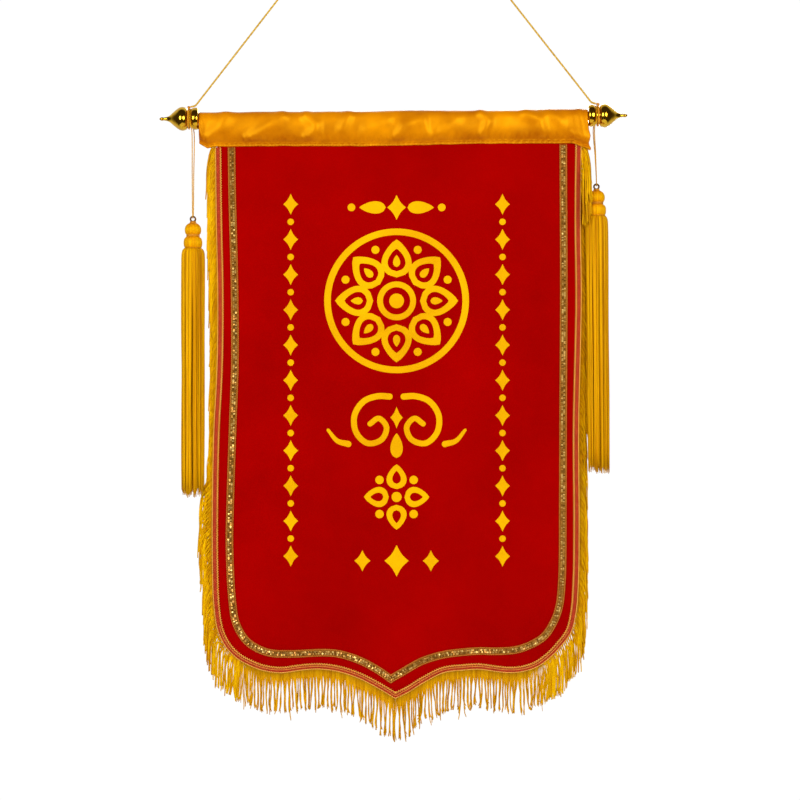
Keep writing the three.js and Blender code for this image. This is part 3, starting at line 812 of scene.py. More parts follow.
def flock_shapes():
    """Outlines, each with the outlines of its openings."""
    x, drop = ornament_middle, medallion_drop
    shapes = [[round_outline(x, drop, 93, 96), round_outline(x, drop, 84.5, 96)],
              [round_outline(x, drop, 25), round_outline(x, drop, 17.5)],
              [round_outline(x, drop, 9.5, 32)]]
    for k in range(8):
        shapes.append([petal_outline(x, drop, 45 * k, 30, 79, 19.5),
                       petal_outline(x, drop, 45 * k, 38, 67, 11.5)])
        shapes.append([petal_outline(x, drop, 45 * k, 43.5, 59, 4.6)])
        spoke = math.radians(45 * k + 22.5)
        shapes.append([round_outline(x + 71 * math.sin(spoke), drop - 71 * math.cos(spoke), 5.2, 20)])
    scroll = [(9, -33), (24, -33.5), (42, -27), (54, -9), (52, 13), (37, 27), (19, 22), (13, 6), (23, -5),
              (34, 2)]
    for hand in (-1, 1):
        rows = [(x + hand * across, scroll_drop + down) for across, down in scroll]
        shapes.append([scroll_outline(rows, 8, 7)])
        tail = [(x + hand * 62, scroll_drop + 28), (x + hand * 76, scroll_drop + 24),
                (x + hand * 88, scroll_drop + 10)]
        shapes.append([scroll_outline(tail, 8, 4)])
        for k in range(21):
            place = 112 + 22.6 * k
            if k % 2:
                shapes.append([round_outline(x + hand * side_column, place, 4.2, 20)])
            else:
                shapes.append([lozenge_outline(x + hand * side_column, place, 9.5, 13.5)])
    shapes.append([lozenge_outline(x, scroll_drop - 6, 8, 14)])
    shapes.append([petal_outline(x, scroll_drop + 46, 0, 0, 32, 8)])
    for k in range(4):
        shapes.append([petal_outline(x, rosette_drop, 90 * k, 10, 42, 13),
                       petal_outline(x, rosette_drop, 90 * k, 17, 33.5, 5.5)])
        corner = math.radians(90 * k + 45)
        dot = x + 31 * math.sin(corner), rosette_drop - 31 * math.cos(corner)
        shapes.append([round_outline(*dot, 5.5, 20)])
    shapes.append([round_outline(x, rosette_drop, 6.5, 24)])
    for across, size in ((-44, 0.8), (0, 1.2), (44, 0.8)):
        shapes.append([lozenge_outline(x + across, foot_row_drop, 13 * size, 17 * size)])
    shapes.append([lozenge_outline(x, top_row_drop, 12, 16)])
    for hand in (-1, 1):
        shapes.append([petal_outline(x + hand * 14, top_row_drop, hand * 90, 0, 34, 8)])
        shapes.append([round_outline(x + hand * 58, top_row_drop, 5, 20)])
    return shapes


def cut_flock(outlines):
    """One flat shape with its openings cut out of the cloth, 0.64 mm thick, its edges rounded."""
    curve = bpy.data.curves.new("flock", "CURVE")
    curve.dimensions = "2D"
    curve.fill_mode = "BOTH"
    curve.extrude = flock_half_extrude
    curve.bevel_depth = flock_edge_round
    curve.offset = -flock_edge_round
    for k, outline in enumerate(outlines):
        ordered = outline[::-1] if k else outline
        spline = curve.splines.new("POLY")
        spline.points.add(len(ordered) - 1)
        spline.points.foreach_set("co", np.c_[ordered[:, 0], -ordered[:, 1], np.zeros(len(ordered)),
                                              np.ones(len(ordered))].ravel())
        spline.use_cyclic_u = True
    holder = bpy.data.objects.new("flock", curve)
    shape = bmesh.new()
    shape.from_mesh(holder.to_mesh())
    holder.to_mesh_clear()
    bpy.data.objects.remove(holder)
    bpy.data.curves.remove(curve)
    bmesh.ops.remove_doubles(shape, verts=shape.verts, dist=1e-3)
    bmesh.ops.recalc_face_normals(shape, faces=shape.faces)
    middle_ahead = velvet_thickness / 2 + flock_proud - flock_half_extrude - flock_edge_round
    for point in shape.verts:
        point.co = Vector(on_cloth(point.co.x, -point.co.y, middle_ahead + point.co.z))
    return as_mesh(shape, "flock")


def gold_flock():
    """Short gold flock: a matt, slightly uneven surface with a fine grain."""
    material, shader = plain_material("gold_flock", (0.90, 0.50, 0.0), 0.62)
    grain = noise_over(material, 2100)
    cloud = noise_over(material, 16, 4)
    uneven = added(material, grain, 0.35, cloud)
    dyed(material, uneven, [(0.45, (0.74, 0.34, 0.0)), (0.85, (0.92, 0.48, 0.0))])
    bumped(material, grain, 0.4, 0.0002)
    tinted_gloss(shader, 0.2, (1.0, 0.7, 0.1))
    return material


ornament_mesh = joined(*map(cut_flock, flock_shapes()))
ornaments = add_piece("gold_ornaments", ornament_mesh, gold_flock(), "gold_satin")

# Rod sleeve. A strip of gold satin about 50 cm by 98 mm, folded over the rod, bellied in front, its
# two lips sewn either side of the velvet with a row of stitches 5 mm above the hem. It ripples
# where the rod and the stitches hold it.
sleeve_ends = (-249.4, 249.4)
satin_thickness = 0.7
stitch_height = 5.0
sleeve_hem_rows = [
    # x, drop of the lower edge
    (-249.4, 34), (-239, 39.8), (-230, 38.1), (-150, 37.3), (-40, 37.4), (10, 36.6), (60, 35.4),
    (110, 34.2), (200, 33.9), (228, 34), (233, 34.8), (241, 38.6), (249.4, 42.2),
]
soft_folds = [
    # points (x, drop) along the fold's crest, height, half width
    ([(-215, -2), (-222, 14), (-236, 27)], 2.6, 9.5),
    ([(-249, 4), (-247, 18), (-246, 30)], 1.3, 3.6),
    ([(-143, -2), (-158, 10), (-176, 24), (-186, 32)], 2.6, 7.5),
    ([(-112, -2), (-99, 10), (-100, 19), (-112, 30)], 2.6, 6.5),
    ([(-58, -3), (-62, 8), (-66, 17)], 1.8, 6.5),
    ([(38, 2), (14, 12), (4, 30)], 2.0, 6.5),
    ([(40, 10), (45, 28)], 1.6, 5.0),
    ([(112, -4), (122, 7), (113, 27)], 2.5, 5.5),
    ([(170, -3), (188, 6), (191, 21)], 2.4, 6.5),
    ([(200, -3), (214, 8)], 1.4, 6.0),
    ([(238, -4), (241, 10), (243, 26)], 1.8, 6.0),
    ([(-8, 4), (-34, 18)], 1.4, 7.5),
    ([(80, 4), (62, 22)], 1.5, 6.5),
]


def fold_relief(x, drop):
    """How far the satin's soft folds and its puckers along the stitches stand out."""
    relief = np.zeros_like(x)
    for crest, height, half_width in soft_folds:
        nearest = np.full_like(x, 1e9)
        for (x1, d1), (x2, d2) in zip(crest, crest[1:]):
            run = np.array((x2 - x1, d2 - d1), float)
            t = np.clip(((x - x1) * run[0] + (drop - d1) * run[1]) / (run @ run), 0, 1)
            nearest = np.minimum(nearest, np.hypot(x - x1 - t * run[0], drop - d1 - t * run[1]))
        relief += height * (np.exp(-(nearest / half_width) ** 2)
                            - 0.2 * np.exp(-((nearest - 2.2 * half_width) / half_width) ** 2))
    return np.maximum(relief, -0.35)


def sleeve_place(u, v):
    """Points of the strip: u along the rod, v from the front hem over the rod to the back hem."""
    x = sleeve_ends[0] + (sleeve_ends[1] - sleeve_ends[0]) * u
    hem = np.interp(x, *zip(*sleeve_hem_rows))
    hem = hem + 0.25 * np.sin(x / 5.3) * np.sin(x / 31)
    belly = 2.3 + 0.5 * np.sin(x / 34) + 0.25 * np.sin(x / 19 + 1)
    lift = 0.45 + 0.35 * np.sin(x / 33 + 1) + 0.5 * np.sin(x / 19) * np.sin(x / 67 + 2)
    lip = velvet_thickness / 2 + loop_gap + 0.5 + 2.6 * smoothstep(x, 223, 232)
    over = 7.2
    fall = [
        # half depth, share of the belly, drop
        (lip, 0, hem), (lip, 0, hem - 2.5), (lip, 0, hem - stitch_height), (lip + 1.4, 1, hem - 12),
        (5.4, 1, 13 + 0 * x), (over, 0.3, 2 + 0 * x),
    ]
    rows = [(-half - part * belly, -drop) for half, part, drop in fall]
    for degrees in (30, 60, 90, 120, 150):
        angle = math.radians(degrees)
        rows.append((-over * math.cos(angle) + 0 * x, (over + lift) * math.sin(angle)))
    rows += [(half + 0 * x, -drop) for half, _, drop in reversed(fall)]
    depth = np.stack([row[0] for row in rows])
    height = np.stack([row[1] for row in rows])
    stop = np.clip(v * (len(rows) - 1), 0, len(rows) - 1 - 1e-6)
    k = stop.astype(int)
    t = stop - k
    column = np.arange(len(x))

    def through(values):
        a, b, c, d = (values[np.clip(k + shift, 0, len(rows) - 1), column] for shift in (-1, 0, 1, 2))
        return 0.5 * (2 * b + (c - a) * t + (2 * a - 5 * b + 4 * c - d) * t**2
                      + (3 * b - a - 3 * c + d) * t**3)

    out, up = through(depth), through(height)
    in_front = smoothstep(-out, -2, 3)
    drop = -up
    stitch_line = hem - stitch_height
    pucker = 0.6 * np.sin(x / 1.3 + 2.5 * np.sin(x / 23)) * np.exp(-((drop - stitch_line + 3) / 3.0) ** 2)
    pucker += 0.55 * np.sin(x / 1.15 + 3 * np.sin(x / 17)) * np.exp(-((drop - hem + 2) / 2.2) ** 2)
    stitched = -0.7 * np.exp(-((drop - stitch_line) / 0.9) ** 2)
    relief = in_front * (fold_relief(x, drop) * smoothstep(stitch_line - drop, -1, 5) + pucker + stitched)
    behind = (1 - in_front) * 0.6 * np.sin(x / 9 + drop / 7) * smoothstep(stitch_line - drop, 0, 6)
    out = out - relief + behind
    up = up + 0.55 * in_front * fold_relief(x, drop) * smoothstep(up, -4, 5)
    right_end = smoothstep(x, sleeve_ends[1] - 16, sleeve_ends[1])
    bulge = right_end * (3 * np.exp(-((drop - 26) / 7) ** 2) + 4 * smoothstep(drop, 33, 41))
    tilt = rod_tilt * x * smoothstep(up, -30, -8)
    return np.stack([x + bulge, hang_plane + out, up - rod_drop + tilt], axis=-1)


def gold_satin():
    """Glossy satin weave, its dye a little uneven; painted shade deepens it low on the front and painted
    light lifts it from the upper front over the rod.
    """
    material, shader = plain_material("gold_satin", (0.80, 0.27, 0.0), 0.42, 0.1)
    nodes = material.node_tree.nodes
    link = material.node_tree.links.new
    strip = nodes.new("ShaderNodeSeparateXYZ")
    # Painted shade and light: darker near the front hem, lighter from the upper front over the rod and down
    # the back.
    painted_front_shade = nodes.new("ShaderNodeMapRange")
    painted_front_shade.interpolation_type = "SMOOTHSTEP"
    painted_front_shade.inputs["From Min"].default_value = 0.08
    painted_front_shade.inputs["From Max"].default_value = 0.34
    painted_front_shade.inputs["To Min"].default_value = -0.16
    painted_front_shade.inputs["To Max"].default_value = 0.12
    link(nodes.new("ShaderNodeTexCoord").outputs["UV"], strip.inputs[0])
    link(strip.outputs["Y"], painted_front_shade.inputs["Value"])
    uneven = added(material, painted_front_shade.outputs["Result"], 1.0, noise_over(material, 24, 3))
    dyed(material, uneven, [(0.3, (0.46, 0.10, 0.0)), (0.75, (0.84, 0.27, 0.0))])
    weave = noise_over(material, 2600, stretch=(0.18, 1, 1))
    bumped(material, weave, 0.25, 0.0001)
    tinted_gloss(shader, 1.0, (1.0, 0.78, 0.02))
    return material


sleeve_mesh = laid_grid(440, 48, sleeve_place)
sleeve = add_piece("satin_sleeve", sleeve_mesh, gold_satin(), "gold_satin", "rod_sleeve")
thicken(sleeve, satin_thickness)

# Sequin braid. A narrow trimming sewn 17 mm inside the hem: a woven gold base, two staggered rows
# of small lapped sequins along its middle and a looped thread down each edge.
braid_half_width = 4.8
sequin_pitch = 1.75
sequin_radius = 1.35
braid_back = velvet_thickness / 2 + loop_gap
left_braid_rows = [
    # x, drop
    (-208, 39), (-207, 106), (-204, 222), (-203.5, 318), (-206, 389), (-209.5, 492), (-210.5, 550),
    (-207, 620), (-202, 650), (-190, 671), (-177, 681), (-159, 688), (-133, 689.5), (-88, 688),
    (-68, 690), (-42, 698.5), (-22, 709), (-3.5, 721.5),
]
right_braid_rows = [
    (-3.5, 721.5), (11, 713), (37, 698.5), (63, 690.5), (89, 687), (111, 685.5), (130, 686),
    (158, 684), (179, 676.5), (194, 666.5), (204, 652), (212, 632), (216, 600), (217.5, 492),
    (218, 363), (218.5, 220), (218, 35.2),
]
braid_line = np.vstack([smooth_route(left_braid_rows, 2.5), smooth_route(right_braid_rows, 2.5)[1:]])


def strip_place(line, half_width, ahead):
    """A strip along a line of (x, drop): u along it, v from its inner edge to its outer edge."""
    edges = offset_line(line, -half_width), offset_line(line, half_width)

    def place(u, v):
        inner, outer = (share_of_steps(edge, u) for edge in edges)
        middle = inner + (outer - inner) * v[:, None]
        return on_cloth(middle[:, 0], middle[:, 1], ahead(u, v) if callable(ahead) else ahead)
    return place


def share_of_steps(line, shares):
    """Points of a line at shares of its number of steps, so that both edges keep pace."""
    steps = np.arange(len(line)) / (len(line) - 1)
    return np.stack([np.interp(shares, steps, line[:, k]) for k in range(line.shape[1])], axis=-1)


def edge_loops(line, distance, ahead, pitch, width, lift=0.35):
    """Line of a thread that loops to and fro along an edge."""
    edge = offset_line(line, distance)
    steps = round(route_length(edge) / pitch * 8)
    shares = np.linspace(0, 1, steps)
    turn = np.arange(steps) / 8 * 2 * np.pi
    here = share_of_steps(edge, shares)
    out = share_of_steps(outwards(line), shares)
    out /= np.linalg.norm(out, axis=1)[:, None]
    along = np.stack([out[:, 1], -out[:, 0]], axis=1)
    place = here + out * (width * np.sin(turn))[:, None] + along * (0.22 * pitch * np.sin(2 * turn))[:, None]
    return on_cloth(place[:, 0], place[:, 1], ahead + lift * np.cos(turn))


braid_base_thread = thread_material("braid_weave", (0.40, 0.15, 0.018), (0.22, 0.07, 0.007), (1, 1, 1))
braid_edge_thread = thread_material("braid_edge", (0.78, 0.29, 0.05), (0.56, 0.16, 0.018), (1, 1, 1))
braid_base = add_piece(
    "braid_base",
    laid_grid(len(braid_line) - 1, 4, strip_place(braid_line, braid_half_width, braid_back + 0.4)),
    braid_base_thread, "sequin_braid", "sequin_braid")
thicken(braid_base, 0.7)
braid_edge_lines = spun_threads("braid_edges", [
    edge_loops(braid_line, side * (braid_half_width - 0.7), braid_back + 0.9, 2.6, 0.5)
    for side in (-1, 1)
], 0.5, 0)
braid_edges = add_piece("braid_edges", braid_edge_lines, braid_edge_thread, "sequin_braid")


def sequin_rows():
    """Small round sequins, each lapped over the next and tipped a little its own way."""
    chance = random.Random(11)
    sequins = bmesh.new()
    number = int(route_length(braid_line) / sequin_pitch)
    outs = outwards(braid_line)
    for row, across in enumerate((-sequin_radius, sequin_radius)):
        for i in range(number):
            share = (i + 0.5 * row + 0.5) / (number + 1)
            x, drop = share_of_steps(braid_line, [share])[0]
            out = share_of_steps(outs, [share])[0]
            turn = math.atan2(-out[1], out[0])
            place = on_cloth(x + out[0] * across, drop + out[1] * across, braid_back + 1.15)
            tip = math.radians(24 + chance.uniform(-16, 20))
            pose = (Matrix.Translation(Vector(place)) @ Matrix.Rotation(turn, 4, "Y").inverted()
                    @ Matrix.Rotation(math.pi / 2, 4, "X")
                    @ Matrix.Rotation(tip, 4, "X")
                    @ Matrix.Rotation(math.radians(chance.uniform(-18, 18)), 4, "Y"))
            bmesh.ops.create_cone(sequins, cap_ends=True, segments=7, radius1=sequin_radius,
                                  radius2=sequin_radius - 0.15, depth=0.14, matrix=pose)
    return as_mesh(sequins, "sequins")


def sequin_foil():
    """Metallised plastic in brown gold, each sequin a little lighter or darker."""
    material, _ = plain_material("sequin_foil", (0.62, 0.33, 0.05), 0.28, 0.6)
    each = material.node_tree.nodes.new("ShaderNodeNewGeometry").outputs["Random Per Island"]
    dyed(material, each, [(0, (0.28, 0.11, 0.012)), (0.6, (0.50, 0.23, 0.03)), (1, (0.95, 0.66, 0.2))])
    rougher(material, each, 0.2, 0.4)
    return material


sequins_sewn = add_piece("braid_sequins", sequin_rows(), sequin_foil(), "sequin_braid")

# Fringe tape. A woven band 7.6 mm wide, sewn over the velvet's edge down both sides and along the
# foot: a red middle of ribs with a looped gold thread along each edge. Along the foot a thin gold
# thread also runs down its middle.
tape_back = velvet_thickness / 2 + loop_gap
foot_top_drop = 652.0


def tape_relief(u, v):
    """Front of the band: two ribs with a groove between them."""
    across = (v - 0.5) * 2 * tape_half_width
    return tape_back + 0.55 + 0.45 * np.exp(-((np.abs(across) - 0.95) / 0.62) ** 2)


def tape_weave():
    """Red ribs laid across the band in columns, each rib a little lighter or darker."""
    material, shader = plain_material("tape_weave", (0.50, 0.035, 0.012), 0.6)
    nodes = material.node_tree.nodes
    link = material.node_tree.links.new
    place = nodes.new("ShaderNodeTexCoord")
    in_millimetres = nodes.new("ShaderNodeMapping")
    in_millimetres.inputs["Scale"].default_value = (route_length(hem_line), 2 * tape_half_width - 1, 1)
    in_millimetres.inputs["Rotation"].default_value = (0, 0, math.pi / 2)
    ribs = nodes.new("ShaderNodeTexBrick")
    for socket, value in (("Scale", 1), ("Brick Width", 2.2), ("Row Height", 2.2), ("Mortar Size", 0.4),
                          ("Mortar Smooth", 1.0), ("Color1", (0.58, 0.06, 0.018, 1)),
                          ("Color2", (0.42, 0.02, 0.007, 1)), ("Mortar", (0.24, 0.008, 0.003, 1))):
        ribs.inputs[socket].default_value = value
    link(place.outputs["UV"], in_millimetres.inputs["Vector"])
    link(in_millimetres.outputs["Vector"], ribs.inputs["Vector"])
    link(ribs.outputs["Color"], shader.inputs["Base Color"])
    bumped(material, ribs.outputs["Fac"], 0.6, 0.0003).invert = True
    tinted_gloss(shader, 0.5, (1.0, 0.5, 0.25))
    return material


tape = add_piece(
    "woven_tape",
    laid_grid(len(hem_line) - 1, 14, strip_place(hem_line, tape_half_width - 0.5, tape_relief)),
    tape_weave(), "gold_yarn")
thicken(tape, 0.6, 1.0)
gimp_thread = thread_material("gimp_thread", (1.0, 0.58, 0.13), (0.88, 0.38, 0.04), (1, 1, 1))
gimp_lines = [
    edge_loops(hem_line, 0.85 - tape_half_width, tape_back + 1.35, 3.1, 1.05),
    edge_loops(hem_line, tape_half_width - 0.4, tape_back + 1.3, 2.7, 0.3),
]
foot_part = hem_line[hem_line[:, 1] > foot_top_drop]
middle_thread = smooth_route(on_cloth(*foot_part[::4].T, tape_back + 1.2), 1.2)
tape_edges = add_piece(
    "fringe_tape_edges",
    joined(spun_threads("gimp", gimp_lines, 0.6, 0), spun_threads("line", [middle_thread], 0.26, 0)),
    gimp_thread, "gold_yarn")

# Fringe. Soft twisted rayon yarns, about 54 mm long, from the tape's outer edge. Down the sides they lap
# over each other in a close band and lean outwards; along the foot they hang in small locks with
# gaps between them. On the right they pass before the tassel's head and behind its skirt.
fringe_length = 54.0
side_yarn_radius = 0.85
foot_yarn_radius = 0.6
under_lip = 9.0               # the side yarns start this far above the satin's hem
side_spacing = 1.15
corner_spacing = 0.64
foot_spacing = 0.8
long_strand_share = 0.012     # of the foot's yarns, some hang lower than the rest
lock_widths = (1.6, 5.4)
close_band = 0.6              # a tape that runs more upright than this carries the close side band
foot_band = 0.35              # and one that runs flatter than this carries the foot's locks
left_drift = [(40, 13), (300, 12.5), (380, 9.5), (440, 9.5), (475, 20), (520, 20), (590, 15)]
left_back = [(40, 5), (250, 8), (380, 10), (440, 10), (475, 7), (590, 6)]
right_drift = [(40, 13), (700, 13)]
right_back = [(40, -16), (90, -16), (90.1, 17), (430, 16), (500, 9), (700, 6)]
flap_clear = (46, 74)         # drops between which the yarns leave the satin's lip to come forward


def from_table(rows, place):
    """Value read from rows of (place, value), smoothly between them."""
    places, values = zip(*rows)
    k = int(np.clip(np.searchsorted(places, place) - 1, 0, len(rows) - 2))
    return values[k] + (values[k + 1] - values[k]) * float(smoothstep(place, places[k], places[k + 1]))


fringe_chance = np.random.default_rng(21)
fringe_lines = {"left": [], "foot": [], "right": []}
fringe_tapers = {"left": [], "foot": [], "right": []}
tape_run = np.r_[0, np.cumsum(np.linalg.norm(np.diff(hem_line, axis=0), axis=1))]
tape_out = outwards(hem_line)
tape_out /= np.linalg.norm(tape_out, axis=1)[:, None]
golden_ratio = 0.618034       # spreads the yarns evenly over the band
fall_shares = np.r_[0, 0.03, 0.08, np.linspace(0.16, 0.88, 7), 0.94, 1.0]
place_on_tape = -under_lip
number = 0
lock = {"end": place_on_tape - 1}
while place_on_tape < tape_run[-1] + under_lip:
    beyond = place_on_tape - np.clip(place_on_tape, 0, tape_run[-1])
    middle = np.array([np.interp(place_on_tape, tape_run, hem_line[:, k]) for k in (0, 1)])
    middle[1] -= abs(beyond)
    out = np.array([np.interp(place_on_tape, tape_run, tape_out[:, k]) for k in (0, 1)])
    hand = 1 if middle[0] > 0 else -1
    sideways = float(smoothstep(abs(middle[0]), 150, 224)) * abs(out[0])
    if place_on_tape > lock["end"]:
        lock_width = fringe_chance.uniform(*lock_widths)
        lock["middle"] = place_on_tape + lock_width / 2
        lock["end"] = place_on_tape + lock_width
        lock["sway"] = fringe_chance.normal(0, 1.7)
        lock["back"] = fringe_chance.normal(0, 1.4)
        lock["long"] = fringe_chance.normal(0, 2.2)
        lock["drift"] = fringe_chance.uniform(0, 1)
        lock["curl"] = fringe_chance.normal(0, 1.6)
    number += 1
    root = middle + out * (tape_half_width - 0.6)
    drift_most = from_table(left_drift if hand < 0 else right_drift, middle[1])
    back_most = from_table(left_back if hand < 0 else right_back, middle[1])
    at_point = 6 * float(smoothstep(30 - abs(middle[0]), 0, 22))
    own = fringe_chance.uniform(-1, 1, 5)
    length = fringe_length - 2.5 * (1 - sideways) + at_point + lock["long"]
    length += fringe_chance.normal(0, 1.6)
    if sideways < foot_band and fringe_chance.uniform() < long_strand_share:
        length += fringe_chance.uniform(6, 13)
    spread = number * golden_ratio % 1
    drift = hand * sideways * drift_most * (0.04 + 0.96 * (0.85 * spread**0.8 + 0.15 * lock["drift"]))
    gather = (1 - sideways) * (lock["middle"] - place_on_tape) * 0.75
    phase = fringe_chance.uniform(0, 6.28, 2)
    wobble = (0.3 + 0.4 * abs(own[1])) * (1 - 0.6 * sideways)
    curl = (1 - 0.7 * sideways) * (lock["curl"] + 1.3 * own[4])
    t = fall_shares
    leave = 1 - np.exp(-t * 6)
    x = (root[0] + drift * leave + (1 - sideways) * lock["sway"] * smoothstep(t, 0.25, 1.1)
         + gather * smoothstep(t, 0.12, 0.5) + curl * smoothstep(t, 0.8, 1.05)
         + wobble * np.sin(t * 9 + phase[0]) * smoothstep(t, 0.05, 0.4))
    start = on_cloth(root[0], root[1], 0.0 if beyond else tape_back + 0.6)
    freed = smoothstep(root[1] + length * t, *flap_clear) if back_most < 0 else 1.0
    y = (start[1] + sideways * back_most * leave * freed * (0.75 + 0.25 * own[2])
         + (1 - sideways) * (lock["back"] + 0.8 * own[3]) * smoothstep(t, 0, 0.5)
         + wobble * np.cos(t * 8 + phase[1]) * smoothstep(t, 0.05, 0.4))
    z = start[2] - length * (t - 0.03 * abs(curl) / 2 * smoothstep(t, 0.88, 1))
    part = "foot" if sideways < foot_band else ("left" if hand < 0 else "right")
    fringe_lines[part].append(np.stack([x, y, z], axis=1))
    fringe_tapers[part].append(np.r_[0.8, np.ones(len(t) - 2), 0.75] * (1 + 0.15 * own[2]))
    if sideways > close_band:
        place_on_tape += side_spacing
    else:
        place_on_tape += corner_spacing if sideways > 0.06 else foot_spacing

fringe_colors = {
    # light, dark, the painted shade from root to tip, darker at the root under the tape
    "left": ((1.0, 0.62, 0.0), (0.58, 0.23, 0.0),
             [(0, (0.6, 0.45, 0.4)), (0.1, (0.85, 0.75, 0.7)), (0.24, (1, 1, 1))]),
    "foot": ((0.88, 0.47, 0.002), (0.55, 0.22, 0.0), [(0, (0.45, 0.42, 0.3)), (0.3, (1, 1, 1))]),
    "right": ((0.98, 0.59, 0.0), (0.55, 0.21, 0.0),
              [(0, (0.6, 0.45, 0.4)), (0.1, (0.85, 0.75, 0.7)), (0.24, (1, 1, 1))]),
}
for part, lines in fringe_lines.items():
    light, dark, painted_root_shade = fringe_colors[part]
    yarn = thread_material(f"fringe_yarn_{part}", light, dark, along=painted_root_shade)
    radius = foot_yarn_radius if part == "foot" else side_yarn_radius
    fringe_mesh = spun_threads(part, lines, radius, 0, fringe_tapers[part])
    stands_for = ("fringe",) if part == "foot" else ()
    add_piece(f"fringe_{part}", fringe_mesh, yarn, "gold_yarn", *stands_for)

# Tassels. A head of two padded lobes covered with upright rayon threads and bound at the waist and
# the foot with thread, over a long skirt of fine yarn. A small dark brass ring holds it.
skirt_top = 38.7              # below the ring's middle
head_threads = 76
head_thread_radius = 0.6
binding_ply_radius = 0.46
binding_ply_offset = 0.38
skirt_yarn_radius = 0.55
head_rows = [
    # height above the skirt's top, radius
    (-1.5, 9.9), (-0.6, 10), (1.2, 9.9), (3.4, 11.2), (8.5, 11.9), (13.4, 10.9), (16.2, 8.1),
    (18.4, 8.1), (20.6, 9.8), (25.5, 10.5), (30, 9.0), (33, 5.6), (34.4, 2.8), (35.6, 1.7),
]
binding_coils = [
    # lowest and highest height, radius, turns
    (-0.8, 1.6, 10.1, 3), (16.2, 18.6, 8.0, 3), (33.2, 35.2, 3.4, 3),
]
head_painted_shade = [
    # share of the thread's run up the head, painted shade: darker at the foot, the waist and the top,
    # lighter on the lobes
    (0, (0.8, 0.5, 0.4)), (0.14, (0.95, 0.85, 1)), (0.26, (1, 1, 1)), (0.4, (0.95, 0.75, 0.6)),
    (0.47, (0.75, 0.45, 0.3)), (0.56, (0.95, 0.8, 0.8)), (0.68, (1, 1, 1)), (0.82, (0.92, 0.7, 0.5)),
    (0.93, (0.75, 0.45, 0.4)),
]
head_thread = thread_material("tassel_head_thread", (1.0, 0.57, 0.0), (0.78, 0.35, 0.0), along=head_painted_shade)
skirt_yarn = thread_material("tassel_skirt_yarn", (1.0, 0.56, 0.0), (0.56, 0.19, 0.0), (1, 1, 0.02))
binding_thread = thread_material("tassel_binding", (0.80, 0.36, 0.03), (0.55, 0.18, 0.01), (1, 1, 1))


def tassel_meshes(skirt_radius, skirt_length, seed):
    """The head, its binding and the skirt, with the ring's middle at the origin."""
    chance = np.random.default_rng(seed)
    rows = smooth_route(head_rows, 1.5)
    lines = []
    tapers = []
    for k in range(head_threads):
        angle = 2 * np.pi * (k + 0.25 * chance.uniform(-1, 1)) / head_threads
        radius = rows[:, 1] - 0.5 + 0.12 * chance.uniform(-1, 1)
        lines.append(np.stack([radius * np.cos(angle), radius * np.sin(angle),
                               rows[:, 0] - skirt_top], axis=1))
        tapers.append(np.clip(rows[:, 1] / 11.5, 0.25, 1.0))
    head = spun_threads("head", lines, head_thread_radius, 0, tapers)
    core_rows = [(along, max(radius - 0.9, 0.3)) for along, radius in smooth_route(head_rows[1:-1], 1.5)]
    core_rows = [(-1.2, 0), *core_rows, (34.6, 0)]
    core = turned(core_rows, 36)
    core.transform(Matrix.Translation((0, 0, -skirt_top)) @ Matrix.Rotation(-math.pi / 2, 4, "Y"))
    coils = []
    for low, high, radius, turns in binding_coils:
        t = np.linspace(0, 1, turns * 40)
        angle = 2 * np.pi * turns * t
        coils.append(np.stack([radius * np.cos(angle), radius * np.sin(angle),
                               low + (high - low) * t - skirt_top], axis=1))
    plies = [ply for coil in coils for ply in twisted(coil, 2, binding_ply_offset, 4.2)]
    bindings = spun_threads("binding", plies, binding_ply_radius, 0)
    layers = [
        # yarns, radius at the root, radius in the skirt
        (92, 10.3, skirt_radius - 0.55), (84, 9.2, skirt_radius - 1.7), (70, 7.6, skirt_radius - 3.4),
        (50, 5.6, skirt_radius - 6.2), (26, 2.8, skirt_radius - 9.6),
    ]
    falls = np.r_[-0.004, 0.002, 0.008, 0.018, 0.04, 0.08, np.linspace(0.16, 1, 11)]
    lock_number = 17
    lock_places = np.arange(lock_number) + 0.6 * chance.uniform(-0.5, 0.5, lock_number)
    lock_edges = np.sort(lock_places / lock_number)
    lock_shift = chance.uniform(-1, 1, (lock_number, 4))
    yarns = []
    yarn_tapers = []
    for number, root_radius, body_radius in layers:
        for k in range(number):
            around = (k + 0.6 * chance.uniform(-0.5, 0.5)) / number % 1
            which = int(np.searchsorted(lock_edges, around)) % lock_number
            low = lock_edges[which - 1] - (which == 0)
            high = lock_edges[which]
            if around > lock_edges[-1]:
                around -= 1
            across = 2 * (around - low) / (high - low) - 1
            lock = lock_shift[which]
            length = skirt_length + 6 * lock[0] + 5 * chance.uniform(-1, 1)
            swell = 1 - np.exp(-np.clip(falls + 0.004, 0, 1) * 110)
            radius = root_radius + (body_radius - root_radius) * swell
            radius = radius + (0.75 - 1.7 * across**2) * swell * (body_radius / skirt_radius)
            radius = radius - 0.3 * (1 + lock[1]) * smoothstep(falls, 0.2, 0.7)
            radius = radius + 0.25 * np.sin(falls * 11 + 3 * lock[2] + k)
            angle = 2 * np.pi * (around - 0.12 * across * (high - low) * smoothstep(falls, 0, 0.3))
            angle = angle + (0.06 * lock[3] + 0.03 * np.sin(falls * 7 + k)) * smoothstep(falls, 0.05, 0.6)
            yarns.append(np.stack([radius * np.cos(angle), radius * np.sin(angle),
                                   -skirt_top - falls * length], axis=1))
            yarn_tapers.append(np.r_[np.ones(len(falls) - 1), 0.7] * chance.uniform(0.85, 1.2))
    skirt = spun_threads("skirt", yarns, skirt_yarn_radius, 0, yarn_tapers)
    return joined(head, core), bindings, skirt


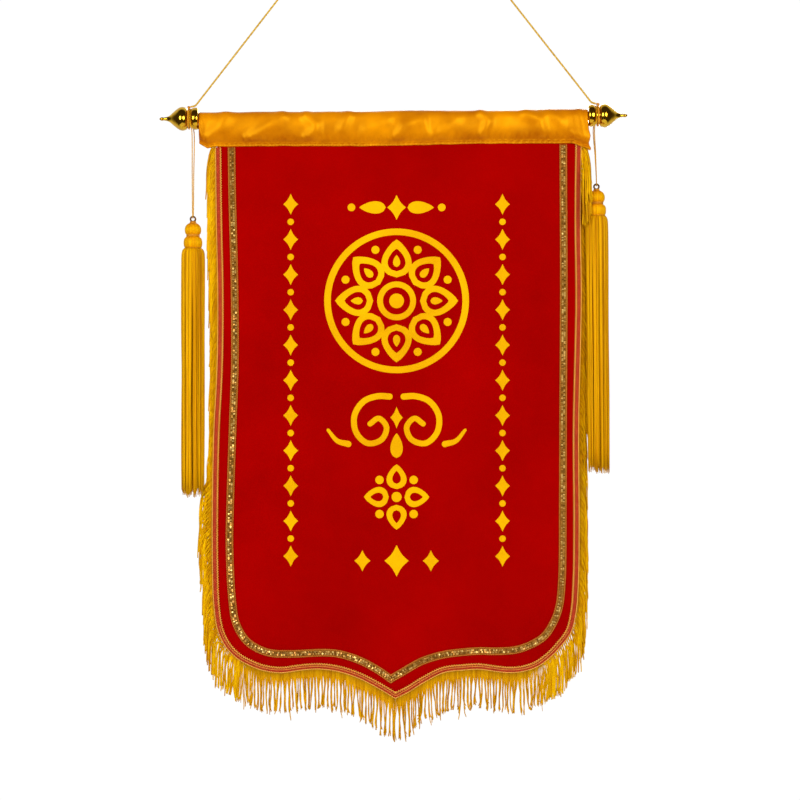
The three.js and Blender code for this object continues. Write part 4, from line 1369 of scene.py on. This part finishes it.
def ring_brass():
    """Dark, polished brass wire with a little tarnish."""
    material, shader = plain_material("dark_brass", (0.13, 0.05, 0.008), 0.3, 0.7)
    tarnish = noise_over(material, 500)
    dyed(material, tarnish, [(0.35, (0.05, 0.015, 0.002)), (0.65, (0.22, 0.095, 0.012))])
    tinted_gloss(shader, 0.5, (0.45, 0.25, 0.08))
    return material


def wire_ring():
    """A closed ring of round wire about the y axis, its middle at the origin."""
    wire = bmesh.new()
    bmesh.ops.create_circle(wire, segments=14, radius=ring_wire,
                            matrix=Matrix.Translation((ring_radius, 0, 0)))
    bmesh.ops.spin(wire, geom=wire.verts[:] + wire.edges[:], cent=(0, 0, 0), axis=(0, 1, 0),
                   angle=2 * math.pi, steps=40, use_merge=True)
    bmesh.ops.remove_doubles(wire, verts=wire.verts, dist=weld)
    bmesh.ops.recalc_face_normals(wire, faces=wire.faces)
    mesh = as_mesh(wire, "ring")
    mesh.shade_smooth()
    return mesh


dark_brass = ring_brass()
for side_name, hand, ring_x, ring_drop, skirt_radius, skirt_length, lean in tassels:
    hang = Matrix.Translation((ring_x, hang_plane, -rod_drop - ring_drop)) @ Matrix.Rotation(lean, 4, "Y")
    head_mesh, binding_mesh, skirt_mesh = tassel_meshes(skirt_radius, skirt_length, 40 + hand)
    for mesh in (head_mesh, binding_mesh, skirt_mesh):
        mesh.transform(hang)
    add_piece(f"tassel_skirt_{side_name}", skirt_mesh, skirt_yarn, "gold_yarn", f"tassel_{side_name}")
    add_piece(f"tassel_head_{side_name}", head_mesh, head_thread, "gold_yarn")
    add_piece(f"tassel_binding_{side_name}", binding_mesh, binding_thread, "gold_yarn")
    ring_mesh = wire_ring()
    ring_mesh.transform(Matrix.Translation((ring_x, hang_plane, -rod_drop - ring_drop)))
    add_piece(f"brass_ring_{side_name}", ring_mesh, dark_brass, "dark_brass", f"tassel_ring_{side_name}")

# Floor. Plain pale paper, well under the banner.
floor_shape = bmesh.new()
bmesh.ops.create_circle(floor_shape, cap_ends=True, segments=96, radius=1.05,
                        matrix=Matrix.Translation((0.008, 0, -1.45)))
floor_mesh = as_mesh(floor_shape, "floor")
floor_paper, _ = plain_material("floor_paper", (0.86, 0.85, 0.84), 0.85)
floor_mesh.materials.append(floor_paper)
floor = bpy.data.objects.new("floor", floor_mesh)
scene.collection.objects.link(floor)
